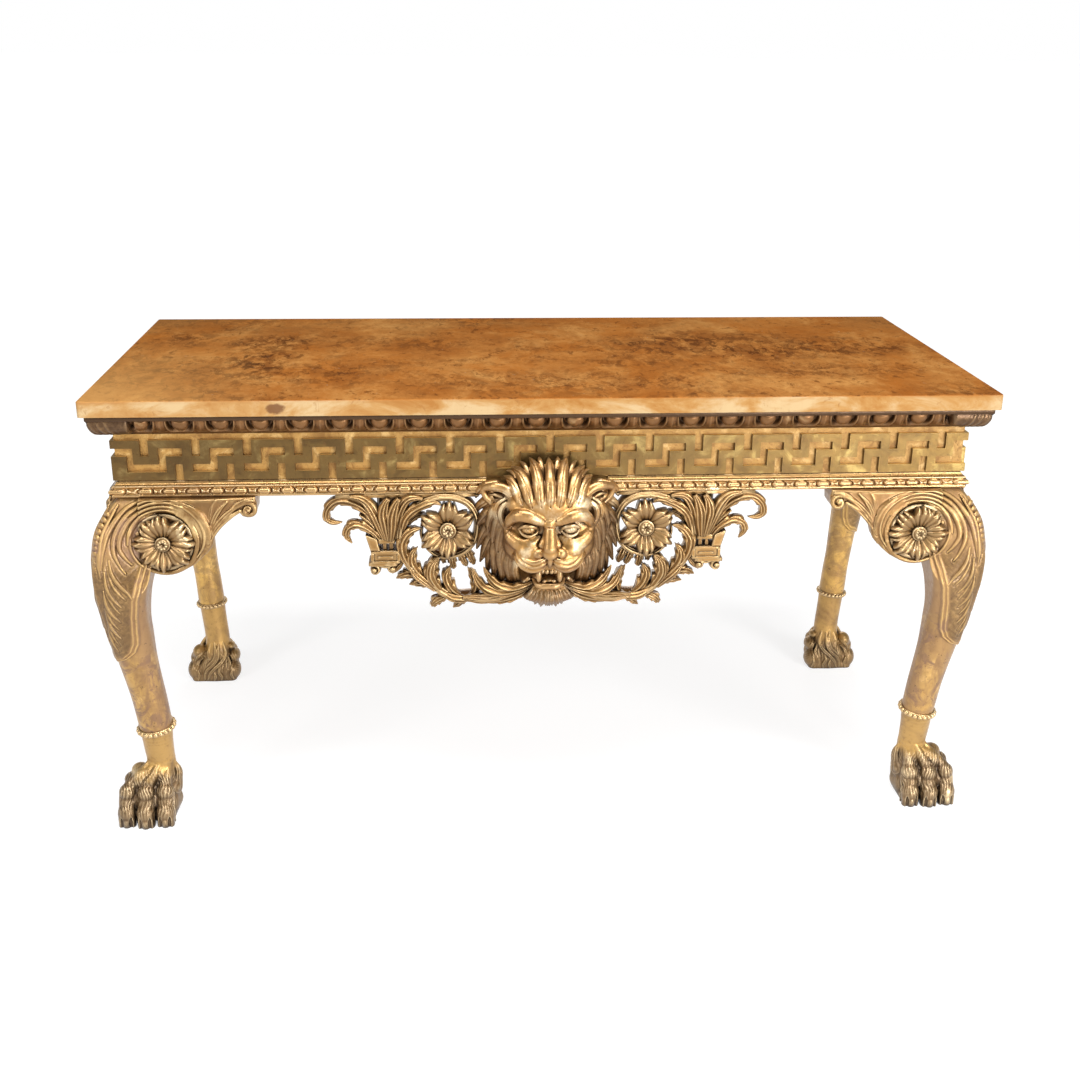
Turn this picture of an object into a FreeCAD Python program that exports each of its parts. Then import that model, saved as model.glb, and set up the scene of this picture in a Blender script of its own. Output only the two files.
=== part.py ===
import FreeCAD, Part
import math
import os
from FreeCAD import Vector as V

# Gilt carved pier table with a loose marble slab. Millimetres, +Z up, floor at z = 0.
# The slab's centre is the working centre; SHIFT_Y moves the finished pieces so that the
# origin lies on the floor under the middle of the overall box.

# ---- driving dimensions ----
TOP_W, TOP_D, TOP_T = 1640.0, 724.0, 29.0        # marble slab
HEIGHT = 855.0                                    # floor to marble surface
FRAME_HALF = 772.5                                # half width of the frieze
FRONT_Y = -315.0                                  # front face of the frieze
BACK_Y = 347.0                                    # back face of the frame
POST = 75.0                                       # square post at the head of each leg
RAIL_T = 36.0                                     # rail thickness
RAIL_BOT = 668.0                                  # underside of rails and bead moulding
FRIEZE_BOT, FRIEZE_TOP = 696.0, 781.0             # frieze between the two mouldings
EGG_OUT, BEAD_OUT = 38.0, 14.0                    # how far the mouldings stand out
FRET_T, FRET_Z0, FRET_H, FRET_P = 7.0, 699.0, 74.0, 90.68   # key fret: thickness, foot, height, repeat
TENON_L, TENON_T = 45.0, 12.0                     # rail tenons
TENON_Z0, TENON_Z1 = 690.0, 800.0
FOOT_Z = 190.0                                    # joint between leg and paw foot
COLLAR_R, COLLAR_TUBE = 33.0, 5.5                 # beaded collar round the joint
ROSETTE_R, ROSETTE_H = 50.0, 24.0                 # flower on each knee
ROSETTE_S, ROSETTE_Z = 75.5, 586.0                # its centre: inward from the corner, height
EAR_OUT, EAR_IN = 28.0, 30.0                      # bracket: ahead of and behind the frieze face
MASK_BACK, MASK_NOSE = 322.0, 413.0               # lion mask: back plane and nose, from centre
MASK_HALF = 110.0                                 # half width of the mask's block
SHIFT_Y = 25.5

TOP_Z0 = HEIGHT - TOP_T
RAIL_IN_Y = FRONT_Y + RAIL_T
RAIL_IN_X = FRAME_HALF - RAIL_T
REAR_IN_Y = BACK_Y - RAIL_T
PEG_R, PEG_L = 4.0, 60.0

pieces = {}


def box(x0, x1, y0, y1, z0, z1):
    x0, x1 = min(x0, x1), max(x0, x1)
    y0, y1 = min(y0, y1), max(y0, y1)
    return Part.makeBox(x1 - x0, y1 - y0, z1 - z0, V(x0, y0, z0))


def cyl(p, d, r, h):
    return Part.makeCylinder(r, h, V(*p), V(*d))


def poly_wire(pts):
    v = [V(*p) for p in pts]
    return Part.makePolygon(v + [v[0]])


def prism(pts, vec, holes=()):
    wires = [poly_wire(pts)] + [poly_wire(h) for h in holes]
    face = Part.makeFace(Part.makeCompound(wires), "Part::FaceMakerCheese") if holes else Part.Face(wires[0])
    s = face.extrude(V(*vec))
    return s.Solids[0] if len(s.Solids) == 1 else s


def mirror_x(s):
    return s.mirror(V(0, 0, 0), V(1, 0, 0))


def one(s):
    s = s.removeSplitter()
    return s.Solids[0] if len(s.Solids) == 1 else s


# ---- marble slab ----
slab = box(-TOP_W / 2, TOP_W / 2, -TOP_D / 2, TOP_D / 2, TOP_Z0, HEIGHT)
slab = slab.makeFillet(6.0, [e for e in slab.Edges if abs(e.tangentAt(e.FirstParameter).z) > 0.99])
slab = slab.makeFillet(3.0, [e for e in slab.Edges if e.BoundBox.ZMin > HEIGHT - 0.1])
pieces["marble_top"] = slab


# ---- rails, tenoned into the posts ----
XIN = FRAME_HALF - POST
front = box(-XIN, XIN, FRONT_Y, RAIL_IN_Y, RAIL_BOT, TOP_Z0)
rear = box(-XIN, XIN, REAR_IN_Y, BACK_Y, RAIL_BOT, TOP_Z0)
for s in (-1, 1):
    front = front.fuse(box(s * (XIN - 1), s * (XIN + TENON_L), FRONT_Y + 12, FRONT_Y + 12 + TENON_T, TENON_Z0, TENON_Z1))
    rear = rear.fuse(box(s * (XIN - 1), s * (XIN + TENON_L), BACK_Y - 12 - TENON_T, BACK_Y - 12, TENON_Z0, TENON_Z1))
SF, SR = FRONT_Y + POST, BACK_Y - POST
side = box(RAIL_IN_X, FRAME_HALF, SF, SR, RAIL_BOT, TOP_Z0)
side = side.fuse(box(FRAME_HALF - 12 - TENON_T, FRAME_HALF - 12, SF - TENON_L, SR + TENON_L, TENON_Z0, TENON_Z1))

# cross bearers carry the slab between the front and the rear rail on stub tenons
BEAR_X, BEAR_W, BEAR_H, STUB = 260.0, 46.0, 76.0, 14.0
bearer = box(BEAR_X - BEAR_W / 2, BEAR_X + BEAR_W / 2, RAIL_IN_Y, REAR_IN_Y, TOP_Z0 - BEAR_H, TOP_Z0)
stubs = box(BEAR_X - 14, BEAR_X + 14, RAIL_IN_Y - STUB, REAR_IN_Y + STUB, TOP_Z0 - BEAR_H + 14, TOP_Z0 - 16)
bearer = bearer.fuse(stubs)
bearers = {"cross_bearer_right": bearer.removeSplitter(), "cross_bearer_left": mirror_x(bearer.removeSplitter())}
for b in bearers.values():
    front = front.cut(b)
    rear = rear.cut(b)

# diagonal braces inside the corners, glued to the rails and screwed to the posts
U0, U1, BR_Z0, BR_Z1 = 80.0, 118.0, 706.0, 800.0


def brace(sx, front_end):
    y_in, d = (RAIL_IN_Y, 1) if front_end else (REAR_IN_Y, -1)
    pts = [(sx * (RAIL_IN_X - U0), y_in), (sx * (RAIL_IN_X - U1), y_in),
           (sx * RAIL_IN_X, y_in + d * U1), (sx * RAIL_IN_X, y_in + d * U0)]
    return prism([(x, y, BR_Z0) for x, y in pts], (0, 0, BR_Z1 - BR_Z0))


def brace_screw(sx, front_end, z):
    y_in, d = (RAIL_IN_Y, 1) if front_end else (REAR_IN_Y, -1)
    mid = (sx * (RAIL_IN_X - U1 / 2), y_in + d * U1 / 2, z)
    k = 1 / math.sqrt(2)
    out = (sx * k, -d * k, 0)
    return one(cyl(mid, out, 2.5, 62.0).fuse(cyl(mid, out, 5.0, 4.0)))


brace_screws = []
braces = {}
for nx, sx in (("left", -1), ("right", 1)):
    for ny, fe in (("front", True), ("rear", False)):
        b = brace(sx, fe)
        for z in (725.0, 781.0):
            sc = brace_screw(sx, fe, z)
            brace_screws.append(sc)
            b = b.cut(sc)
        braces["corner_brace_%s_%s" % (ny, nx)] = b


# ---- legs: square post, knee with a corner arris, round tapering shaft ----
# height, outward swing beyond the frieze corner, width, corner radius
FRONT_LEG = [(668, 2, 77, 4), (645, 20, 88, 6), (604, 39, 97, 9), (560, 46, 99, 12), (520, 47, 93, 15),
             (480, 47, 84, 20), (435, 45, 78, 26), (395, 41, 76, 32), (345, 34, 71, 33), (294, 25, 66, 31),
             (253, 19, 64, 30.5), (FOOT_Z, 12.5, 62.5, 30.5)]
REAR_LEG = [(668, 2, 77, 4), (645, 14, 82, 6), (604, 26, 84, 9), (560, 31, 82, 12), (520, 31, 76, 15),
            (480, 29, 72, 20), (435, 25, 68, 26), (395, 21, 65, 28), (345, 15, 61, 28), (294, 10, 58, 28),
            (253, 6, 58, 28), (FOOT_Z, 2.5, 59, 28.5)]


def rounded(x0, x1, y0, y1, r, z):
    k = math.sqrt(0.5)
    p = []
    for cx, cy, a in ((x1 - r, y1 - r, 0), (x0 + r, y1 - r, 90), (x0 + r, y0 + r, 180), (x1 - r, y0 + r, 270)):
        q = [V(cx + r * math.cos(math.radians(a + t)), cy + r * math.sin(math.radians(a + t)), z) for t in (0, 45, 90)]
        p.append(q)
    edges = []
    for i in range(4):
        edges.append(Part.Arc(*p[i]).toShape())
        edges.append(Part.makeLine(p[i][2], p[(i + 1) % 4][0]))
    return Part.Wire(edges)


def leg_axis(table, z):
    rows = sorted(table)
    for (z0, o0, w0, r0), (z1, o1, w1, r1) in zip(rows, rows[1:]):
        if z0 <= z <= z1:
            t = (z - z0) / (z1 - z0)
            return (o0 + (o1 - o0) * t) - (w0 + (w1 - w0) * t) / 2
    return rows[0][1] - rows[0][2] / 2


def leg(table, sx, rear_leg):
    wires = []
    for z, o, w, r in table:
        if rear_leg:
            # swings out to the side only; its back stays on the back plane of the frame
            y1 = BACK_Y
            y0 = BACK_Y - min(w, POST)
            x0, x1 = FRAME_HALF + o - w, FRAME_HALF + o
            r = min(r, (y1 - y0) / 2 - 0.5, w / 2 - 0.5)
            wires.append(rounded(x0, x1, y0, y1, r, z))
        else:
            x0, x1 = FRAME_HALF + o - w, FRAME_HALF + o
            wires.append(rounded(x0, x1, FRONT_Y - o, FRONT_Y - o + w, min(r, w / 2 - 0.5), z))
    s = Part.makeLoft(wires, True, False)
    ya, yb = (BACK_Y - POST, BACK_Y) if rear_leg else (FRONT_Y, FRONT_Y + POST)
    s = s.fuse(box(FRAME_HALF - POST, FRAME_HALF, ya, yb, RAIL_BOT, TOP_Z0))
    return one(s)


front_leg = leg(FRONT_LEG, 1, False)
rear_leg = leg(REAR_LEG, 1, True)

FC = leg_axis(FRONT_LEG, FOOT_Z)
RC = leg_axis(REAR_LEG, FOOT_Z)
FRONT_FOOT = (FRAME_HALF + FC, FRONT_Y - FC)
REAR_FOOT = (FRAME_HALF + RC, BACK_Y - 29.5)


# ---- paw feet: ankle, instep and toes, flat where they stand; the rear pair point back ----
def paw(foot, toe_x, toe_y, r_top, d):
    # d is 1 where the toes point forward and -1 where they point back
    fx, fy = foot
    secs = [(FOOT_Z, fx, fy, r_top), (160, fx - 4, fy + 3 * d, r_top - 2), (112, fx - 5, fy + 4 * d, r_top - 2),
            (84, fx + 2, fy - 4 * d, r_top + 8)]
    s = Part.makeLoft([Part.Wire(Part.makeCircle(r, V(x, y, z))) for z, x, y, r in secs], True, False)
    ya, yb = sorted((toe_y + 18 * d, fy + 36 * d))
    body = box(toe_x - 46, toe_x + 46, ya, yb, 0, 58)
    body = body.makeFillet(14.0, [e for e in body.Edges if e.BoundBox.ZMax > 1.0])
    flare, ahead = (20, 10) if d > 0 else (14, 0)
    s = s.fuse(Part.makeCone(r_top + 8, r_top + flare, 40, V(fx + 6, fy - ahead, 90), V(0, 0, -1)))
    s = s.fuse(body)
    for dx, dy, r in ((-36, 5, 18), (0, 0, 19), (36, 5, 18)):
        s = s.fuse(Part.makeSphere(r, V(toe_x + dx, toe_y + (dy + 10) * d, r)))
        s = s.fuse(Part.makeSphere(r, V(toe_x + dx, toe_y + (dy + 32) * d, 40)))
        s = s.fuse(Part.makeCylinder(r - 3, 34, V(toe_x + dx, toe_y + (dy + 10) * d, 0)))
    return s.common(box(0, 2000, -2000, 2000, 0, 2000))


PAW_F_X, PAW_F_Y = 774.0, -357.0
PAW_R_X, PAW_R_Y = 752.0, 353.0
front_paw = paw(FRONT_FOOT, PAW_F_X, PAW_F_Y, 31.0, 1)
rear_paw = paw(REAR_FOOT, PAW_R_X, PAW_R_Y, 29.0, -1)


def collar(foot, r):
    # eight-sided ring section
    prof = [V(r + COLLAR_TUBE * math.cos(math.radians(22.5 + 45 * i)), 0, COLLAR_TUBE * math.sin(math.radians(22.5 + 45 * i)))
            for i in range(8)]
    s = Part.Face(Part.makePolygon(prof + [prof[0]])).revolve(V(0, 0, 0), V(0, 0, 1), 360)
    s.translate(V(foot[0], foot[1], FOOT_Z))
    return s


front_collar = collar(FRONT_FOOT, COLLAR_R)
rear_collar = collar(REAR_FOOT, COLLAR_R - 2)

# a dowel pins each foot to its leg
DOWEL_R, DOWEL_L = 11.0, 84.0
front_dowel = cyl((FRONT_FOOT[0], FRONT_FOOT[1], FOOT_Z - DOWEL_L / 2), (0, 0, 1), DOWEL_R, DOWEL_L)
rear_dowel = cyl((REAR_FOOT[0], REAR_FOOT[1], FOOT_Z - DOWEL_L / 2), (0, 0, 1), DOWEL_R, DOWEL_L)

front_leg = front_leg.cut(front_collar).cut(front_dowel)
front_paw = front_paw.cut(front_collar).cut(front_dowel)
rear_leg = rear_leg.cut(rear_collar).cut(rear_dowel)
rear_paw = rear_paw.cut(rear_collar).cut(rear_dowel)

# ---- knee brackets: a round lobe behind the flower and a leafy arm under the rail ----
EAR = [(36, 668), (243, 668), (246, 655), (245, 642), (238, 632), (228, 629), (219, 632), (213, 640), (199, 634),
       (184, 625), (170, 612), (159, 594), (152, 570), (140, 553), (126, 541), (112, 533), (94, 526), (75, 522), (58, 524),
       (41, 531), (36, 540)]


def ear(side_of, rear_end):
    # side_of "front": lies along the front; "side": lies along the end of the table
    if side_of == "front":
        s = prism([(FRAME_HALF - a, FRONT_Y + EAR_IN, z) for a, z in EAR], (0, -(EAR_IN + EAR_OUT), 0))
        seat = cyl((FRAME_HALF - ROSETTE_S, FRONT_Y - EAR_OUT, ROSETTE_Z), (0, -1, 0), ROSETTE_R, 60)
        ros = rosette((FRAME_HALF - ROSETTE_S, FRONT_Y - EAR_OUT, ROSETTE_Z), (0, -1, 0))
        screw = screw_up((FRAME_HALF - 172.0, FRONT_Y + 15.0, 648.0))
    else:
        y0, d = (BACK_Y, -1) if rear_end else (FRONT_Y, 1)
        s = prism([(FRAME_HALF - EAR_IN, y0 + d * a, z) for a, z in EAR], (EAR_IN + EAR_OUT, 0, 0))
        seat = cyl((FRAME_HALF + EAR_OUT, y0 + d * ROSETTE_S, ROSETTE_Z), (1, 0, 0), ROSETTE_R, 60)
        ros = rosette((FRAME_HALF + EAR_OUT, y0 + d * ROSETTE_S, ROSETTE_Z), (1, 0, 0))
        screw = screw_up((FRAME_HALF - 15.0, y0 + d * 172.0, 648.0))
    return s, seat, ros, screw


def rosette(p, d):
    # domed flower: rim, petal dome and button
    prof = [V(0, 0, 0), V(ROSETTE_R, 0, 0), V(ROSETTE_R, 0, 5), V(ROSETTE_R * 0.8, 0, 14), V(16, 0, 15),
            V(14, 0, 21), V(8, 0, ROSETTE_H), V(0, 0, ROSETTE_H)]
    f = Part.Face(Part.makePolygon(prof + [prof[0]]))
    s = f.revolve(V(0, 0, 0), V(0, 0, 1), 360)
    s.Placement = FreeCAD.Placement(V(*p), FreeCAD.Rotation(V(0, 0, 1), V(*d)))
    return s


def screw_up(p):
    # countersunk wood screw driven upwards
    return one(cyl(p, (0, 0, 1), 2.5, 56.0).fuse(cyl(p, (0, 0, 1), 5.0, 4.0)))


ear_ff, seat_ff, ros_ff, scr_ff = ear("front", False)
ear_sf, seat_sf, ros_sf, scr_sf = ear("side", False)
ear_sr, seat_sr, ros_sr, scr_sr = ear("side", True)
below = cyl((FRAME_HALF - 172.0, FRONT_Y + 15.0, 600.0), (0, 0, 1), 5.0, 48.0)
ear_ff = ear_ff.cut(below)
ear_sf = ear_sf.cut(cyl((FRAME_HALF - 15.0, FRONT_Y + 172.0, 600.0), (0, 0, 1), 5.0, 48.0))
ear_sr = ear_sr.cut(cyl((FRAME_HALF - 15.0, BACK_Y - 172.0, 600.0), (0, 0, 1), 5.0, 48.0))

front_leg = front_leg.cut(seat_ff).cut(seat_sf)
rear_leg = rear_leg.cut(seat_sr)
ear_ff = ear_ff.cut(front_leg).cut(scr_ff)
ear_sf = ear_sf.cut(front_leg).cut(scr_sf)
ear_sr = ear_sr.cut(rear_leg).cut(scr_sr)
# where the two ears of one knee meet behind the leg, the front one keeps the corner
ear_sf = ear_sf.cut(ear_ff)
front = front.cut(scr_ff).cut(mirror_x(scr_ff))
side = side.cut(scr_sf).cut(scr_sr)


def biggest(s):
    return max(s.Solids, key=lambda q: q.Volume)


ear_ff, ear_sf, ear_sr = biggest(ear_ff), biggest(ear_sf), biggest(ear_sr)

# ---- mortises and drawbore pegs ----
front_leg = front_leg.cut(front).cut(side)
rear_leg = rear_leg.cut(rear).cut(side)
pegs_right = []
for z in (716.0, 772.0):
    pegs_right.append(cyl((FRAME_HALF - POST + 22, FRONT_Y, z), (0, 1, 0), PEG_R, PEG_L))
    pegs_right.append(cyl((FRAME_HALF - POST + 22, BACK_Y, z), (0, -1, 0), PEG_R, PEG_L))
for z in (734.0, 790.0):
    pegs_right.append(cyl((FRAME_HALF, SF - 22, z), (-1, 0, 0), PEG_R, PEG_L))
    pegs_right.append(cyl((FRAME_HALF, SR + 22, z), (-1, 0, 0), PEG_R, PEG_L))
for p in pegs_right:
    front_leg = front_leg.cut(p)
    rear_leg = rear_leg.cut(p)
    front = front.cut(p).cut(mirror_x(p))
    rear = rear.cut(p).cut(mirror_x(p))
    side = side.cut(p)
for sc in brace_screws:
    front_leg = front_leg.cut(sc)
    rear_leg = rear_leg.cut(sc)
pegs = pegs_right + [mirror_x(p) for p in pegs_right]

# ---- mouldings ----
EGG_PROFILE = [(0, FRIEZE_TOP), (4, FRIEZE_TOP), (4, FRIEZE_TOP + 4), (8, FRIEZE_TOP + 6), (17, FRIEZE_TOP + 9),
               (26, FRIEZE_TOP + 16), (32, FRIEZE_TOP + 25), (34.5, FRIEZE_TOP + 35), (EGG_OUT, FRIEZE_TOP + 36),
               (EGG_OUT, TOP_Z0), (0, TOP_Z0)]
BEAD_PROFILE = [(0, RAIL_BOT), (11, RAIL_BOT), (11.5, RAIL_BOT + 3), (13.5, RAIL_BOT + 6), (BEAD_OUT, RAIL_BOT + 11),
                (13, RAIL_BOT + 15.5), (10, RAIL_BOT + 18.5), (8, RAIL_BOT + 19.5), (2.5, FRIEZE_BOT), (0, FRIEZE_BOT)]


def run_front(profile, x0, x1):
    return prism([(x0, FRONT_Y - p, z) for p, z in profile], (x1 - x0, 0, 0))


def run_side(profile, y0, y1):
    return prism([(FRAME_HALF + p, y0, z) for p, z in profile], (0, y1 - y0, 0))


def mitre_keep(front_side):
    # half space on one side of the 45 degree plane through the front right corner
    L = 3000.0
    c = (FRAME_HALF, FRONT_Y)
    if front_side:
        pts = [(c[0] - L, c[1] + L), (c[0] + L, c[1] - L), (c[0] - L, c[1] - L)]
    else:
        pts = [(c[0] - L, c[1] + L), (c[0] + L, c[1] - L), (c[0] + L, c[1] + L)]
    return prism([(x, y, 500.0) for x, y in pts], (0, 0, 500.0))


keep_f, keep_s = mitre_keep(True), mitre_keep(False)
egg_front = run_front(EGG_PROFILE, -FRAME_HALF - 60, FRAME_HALF + 60).common(keep_f).common(mirror_x(keep_f))
egg_side = run_side(EGG_PROFILE, FRONT_Y - 60, BACK_Y).common(keep_s)
MASK_GAP = 112.0
bead_front = run_front(BEAD_PROFILE, MASK_GAP, FRAME_HALF + 30).common(keep_f)
bead_side = run_side(BEAD_PROFILE, FRONT_Y - 30, BACK_Y).common(keep_s)

# ---- key fret: one raised band with through openings; it turns back on itself at the left corner ----
ROW = [FRET_Z0 + FRET_H * (1 - i / 5.0) for i in range(6)]


def fret_parts(first, n):
    # notches in the upper edge, notches in the lower edge and closed openings of n repeats
    top, bot, holes = [], [], []
    for i in range(n):
        u = first + i * FRET_P
        top.append([(u - 7.6, ROW[0]), (u - 7.6, ROW[2]), (u + 7.6, ROW[2]), (u + 7.6, ROW[0])])
        b = u + 59.0
        bot.append([(b + 7.0, ROW[5]), (b + 7.0, ROW[3]), (b - 7.0, ROW[3]), (b - 7.0, ROW[5])])
        holes.append([(u + 23.8, ROW[1]), (u + 66.7, ROW[1]), (u + 66.7, ROW[2]), (u + 37.2, ROW[2]),
                      (u + 37.2, ROW[4]), (u - 7.3, ROW[4]), (u - 7.3, ROW[3]), (u + 23.8, ROW[3])])
    return top, bot, holes


END = FRAME_HALF + FRET_T
U0 = -720.5
t, b, h = fret_parts(U0, 17)
o = [(-END, ROW[5]), (-END, ROW[2]), (-753.0, ROW[2]), (-753.0, ROW[4]), (U0 + 37.2, ROW[4]), (U0 + 37.2, ROW[2]),
     (U0 + 66.7, ROW[2]), (U0 + 66.7, ROW[1]), (U0 + 23.8, ROW[1]), (U0 + 23.8, ROW[3]), (-741.0, ROW[3]), (-741.0, ROW[1]),
     (-END, ROW[1]), (-END, ROW[0])]
o += [q for r in t for q in r]
o += [(END, ROW[0]), (END, ROW[1]), (753.0, ROW[1]), (753.0, ROW[3]), (722.0, ROW[3]), (722.0, ROW[4]), (END, ROW[4]), (END, ROW[5])]
o += [q for r in b[15::-1] for q in r]
fret_front = prism([(u, FRONT_Y, z) for u, z in o], (0, -FRET_T, 0), [[(u, FRONT_Y, z) for u, z in q] for q in h[1:16]])

U1 = FRONT_Y + 48.6
t, b, h = fret_parts(U1, 7)
h[6][1], h[6][2] = (331.0, ROW[1]), (331.0, ROW[2])
first = [(u - FRET_P, z) for u, z in b[0]]
o = [(FRONT_Y, ROW[5]), (FRONT_Y, ROW[2]), (FRONT_Y + 25.0, ROW[2]), (FRONT_Y + 25.0, ROW[1]), (FRONT_Y, ROW[1]), (FRONT_Y, ROW[0])]
o += [q for r in t for q in r]
o += [(BACK_Y, ROW[0]), (BACK_Y, ROW[5])]
o += [q for r in b[5::-1] for q in r] + first
fret_side = prism([(FRAME_HALF, u, z) for u, z in o], (FRET_T, 0, 0), [[(FRAME_HALF, u, z) for u, z in q] for q in h])

# ---- lion mask: head and mane in one carving, hung over the middle of the front rail ----
MASK = [(0, 738), (45, 730), (84, 712), (112, 694), (120, 668), (126, 640), (131, 600), (128, 560), (116, 520),
        (96, 490), (70, 470), (40, 456), (0, 450)]
outline = MASK + [(-x, z) for x, z in MASK[-2:0:-1]]
YB = -MASK_BACK
mask = prism([(x, YB - 9, z) for x, z in outline], (0, -30, 0))
mask = mask.fuse(box(-MASK_HALF, MASK_HALF, YB, YB - 10, 500, 700))
mask = mask.fuse(box(-MASK_HALF + 10, MASK_HALF - 10, YB - 1, RAIL_IN_Y, 500, RAIL_BOT))
for p, r in (((0, -336, 625), 66), ((0, -362, 566), 51), ((-34, -345, 560), 42), ((34, -345, 560), 42), ((0, -345, 500), 42)):
    mask = mask.fuse(Part.makeSphere(r, V(*p)).common(box(-300, 300, -600, YB - 9, 300, 900)))
mask_board = box(-90, 90, RAIL_IN_Y, RAIL_IN_Y + 24, 560, 770)
board_screws = []
for x in (-60.0, 60.0):
    for z in (600.0, 700.0, 745.0):
        start = (x, RAIL_IN_Y + 24, z)
        sc = one(cyl(start, (0, -1, 0), 2.5, 50.0).fuse(cyl(start, (0, -1, 0), 5.0, 4.0)))
        board_screws.append(sc)
        mask_board = mask_board.cut(sc)
        mask = mask.cut(sc)
        front = front.cut(sc)

# ---- pierced scroll leaves on each side of the mask, hung under the front rail ----
SCROLL = [(159, 668), (392, 668), (403, 655), (411, 630), (404, 616), (376, 614), (388, 628), (381, 641), (359, 640),
          (347, 624), (365, 612), (374, 599), (368, 583), (358, 576), (351, 592), (332, 592), (324, 540), (331, 530),
          (328, 512), (315, 511), (303, 526), (292, 526), (288, 514), (271, 518), (277, 502), (252, 490), (212, 475),
          (208, 465), (212, 446), (189, 446), (171, 443), (145, 452), (101, 458), (88, 460), (88, 477), (113, 499),
          (119, 525), (128, 506), (145, 520), (149, 487), (176, 488), (183, 521),
          (171, 520), (149, 529), (136, 530), (138, 554), (126, 582), (124, 609), (133, 634), (145, 651)]
SCROLL_HOLES = [[(219, 553), (235, 580), (248, 578), (247, 562), (239, 555), (243, 541), (229, 520), (224, 527), (220, 537), (213, 549)],
                [(243, 655), (255, 652), (265, 634), (267, 618), (253, 639)]]
SC_BACK, SC_FRONT = FRONT_Y + 28.0, FRONT_Y - 18.0
scroll = prism([(x, SC_BACK, z) for x, z in SCROLL], (0, SC_FRONT - SC_BACK, 0),
               [[(x, SC_BACK, z) for x, z in h] for h in SCROLL_HOLES])
scroll = scroll.cut(mask)
scroll = biggest(scroll)
flower = rosette((183, SC_FRONT, 601), (0, -1, 0))
scroll_screws = []
for x, z0 in ((200.0, 640.0), (310.0, 640.0)):
    sc = screw_up((x, FRONT_Y + 12.0, z0))
    scroll_screws.append(sc)
    scroll = scroll.cut(sc)
    front = front.cut(sc).cut(mirror_x(sc))

# ---- collect, mirror left and right, write ----
pieces.update(bearers)
pieces.update(braces)
pieces["front_rail"] = front
pieces["rear_rail"] = rear
for name, sgn in (("right", 1), ("left", -1)):
    f = (lambda s: s) if sgn == 1 else mirror_x
    pieces["%s_rail" % name] = f(side)
    pieces["egg_moulding_%s" % name] = f(egg_side)
    pieces["bead_moulding_%s" % name] = f(bead_side)
    pieces["bead_moulding_front_%s" % name] = f(bead_front)
    pieces["key_fret_%s" % name] = f(fret_side)
    pieces["leg_front_%s" % name] = f(front_leg)
    pieces["leg_rear_%s" % name] = f(rear_leg)
    pieces["paw_front_%s" % name] = f(front_paw)
    pieces["paw_rear_%s" % name] = f(rear_paw)
    pieces["collar_front_%s" % name] = f(front_collar)
    pieces["collar_rear_%s" % name] = f(rear_collar)
    pieces["bracket_front_%s" % name] = f(ear_ff)
    pieces["bracket_side_front_%s" % name] = f(ear_sf)
    pieces["bracket_side_rear_%s" % name] = f(ear_sr)
    pieces["rosette_front_%s" % name] = f(ros_ff)
    pieces["rosette_side_front_%s" % name] = f(ros_sf)
    pieces["rosette_side_rear_%s" % name] = f(ros_sr)
    pieces["apron_scroll_%s" % name] = f(scroll)
    pieces["apron_flower_%s" % name] = f(flower)
pieces["egg_moulding_front"] = egg_front
pieces["key_fret_front"] = fret_front
pieces["lion_mask"] = mask
pieces["mask_board"] = mask_board
pieces["tenon_pegs"] = Part.makeCompound(pegs)
pieces["brace_screws"] = Part.makeCompound(brace_screws)
pieces["bracket_screws"] = Part.makeCompound([scr_ff, scr_sf, scr_sr] + [mirror_x(s) for s in (scr_ff, scr_sf, scr_sr)])
pieces["apron_screws"] = Part.makeCompound(scroll_screws + [mirror_x(s) for s in scroll_screws] + board_screws)
pieces["foot_dowels"] = Part.makeCompound([front_dowel, rear_dowel, mirror_x(front_dowel), mirror_x(rear_dowel)])

os.makedirs("parts", exist_ok=True)
for name, shape in pieces.items():
    s = shape.copy()
    s.translate(V(0, SHIFT_Y, 0))
    s.exportStep("parts/%s.step" % name)
    if len(s.Solids) != 1 or not s.isValid():
        print(name, "solids", len(s.Solids), "valid", s.isValid(), "volume", round(s.Volume))
print(len(pieces), "pieces")
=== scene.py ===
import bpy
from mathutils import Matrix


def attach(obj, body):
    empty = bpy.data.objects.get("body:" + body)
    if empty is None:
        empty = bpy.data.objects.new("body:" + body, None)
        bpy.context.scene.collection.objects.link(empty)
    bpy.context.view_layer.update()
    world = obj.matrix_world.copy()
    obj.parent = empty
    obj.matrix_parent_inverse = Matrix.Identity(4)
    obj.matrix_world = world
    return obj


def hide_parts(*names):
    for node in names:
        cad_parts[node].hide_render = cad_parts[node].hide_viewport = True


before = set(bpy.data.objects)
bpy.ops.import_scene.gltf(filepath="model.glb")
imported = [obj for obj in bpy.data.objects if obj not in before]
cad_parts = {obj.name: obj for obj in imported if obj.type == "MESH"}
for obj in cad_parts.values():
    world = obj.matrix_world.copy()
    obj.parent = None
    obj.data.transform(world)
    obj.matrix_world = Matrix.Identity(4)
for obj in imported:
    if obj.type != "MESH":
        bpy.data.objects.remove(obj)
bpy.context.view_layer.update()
import math
import bpy
import numpy as np
import openvdb
from mathutils import Matrix, Vector

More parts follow.
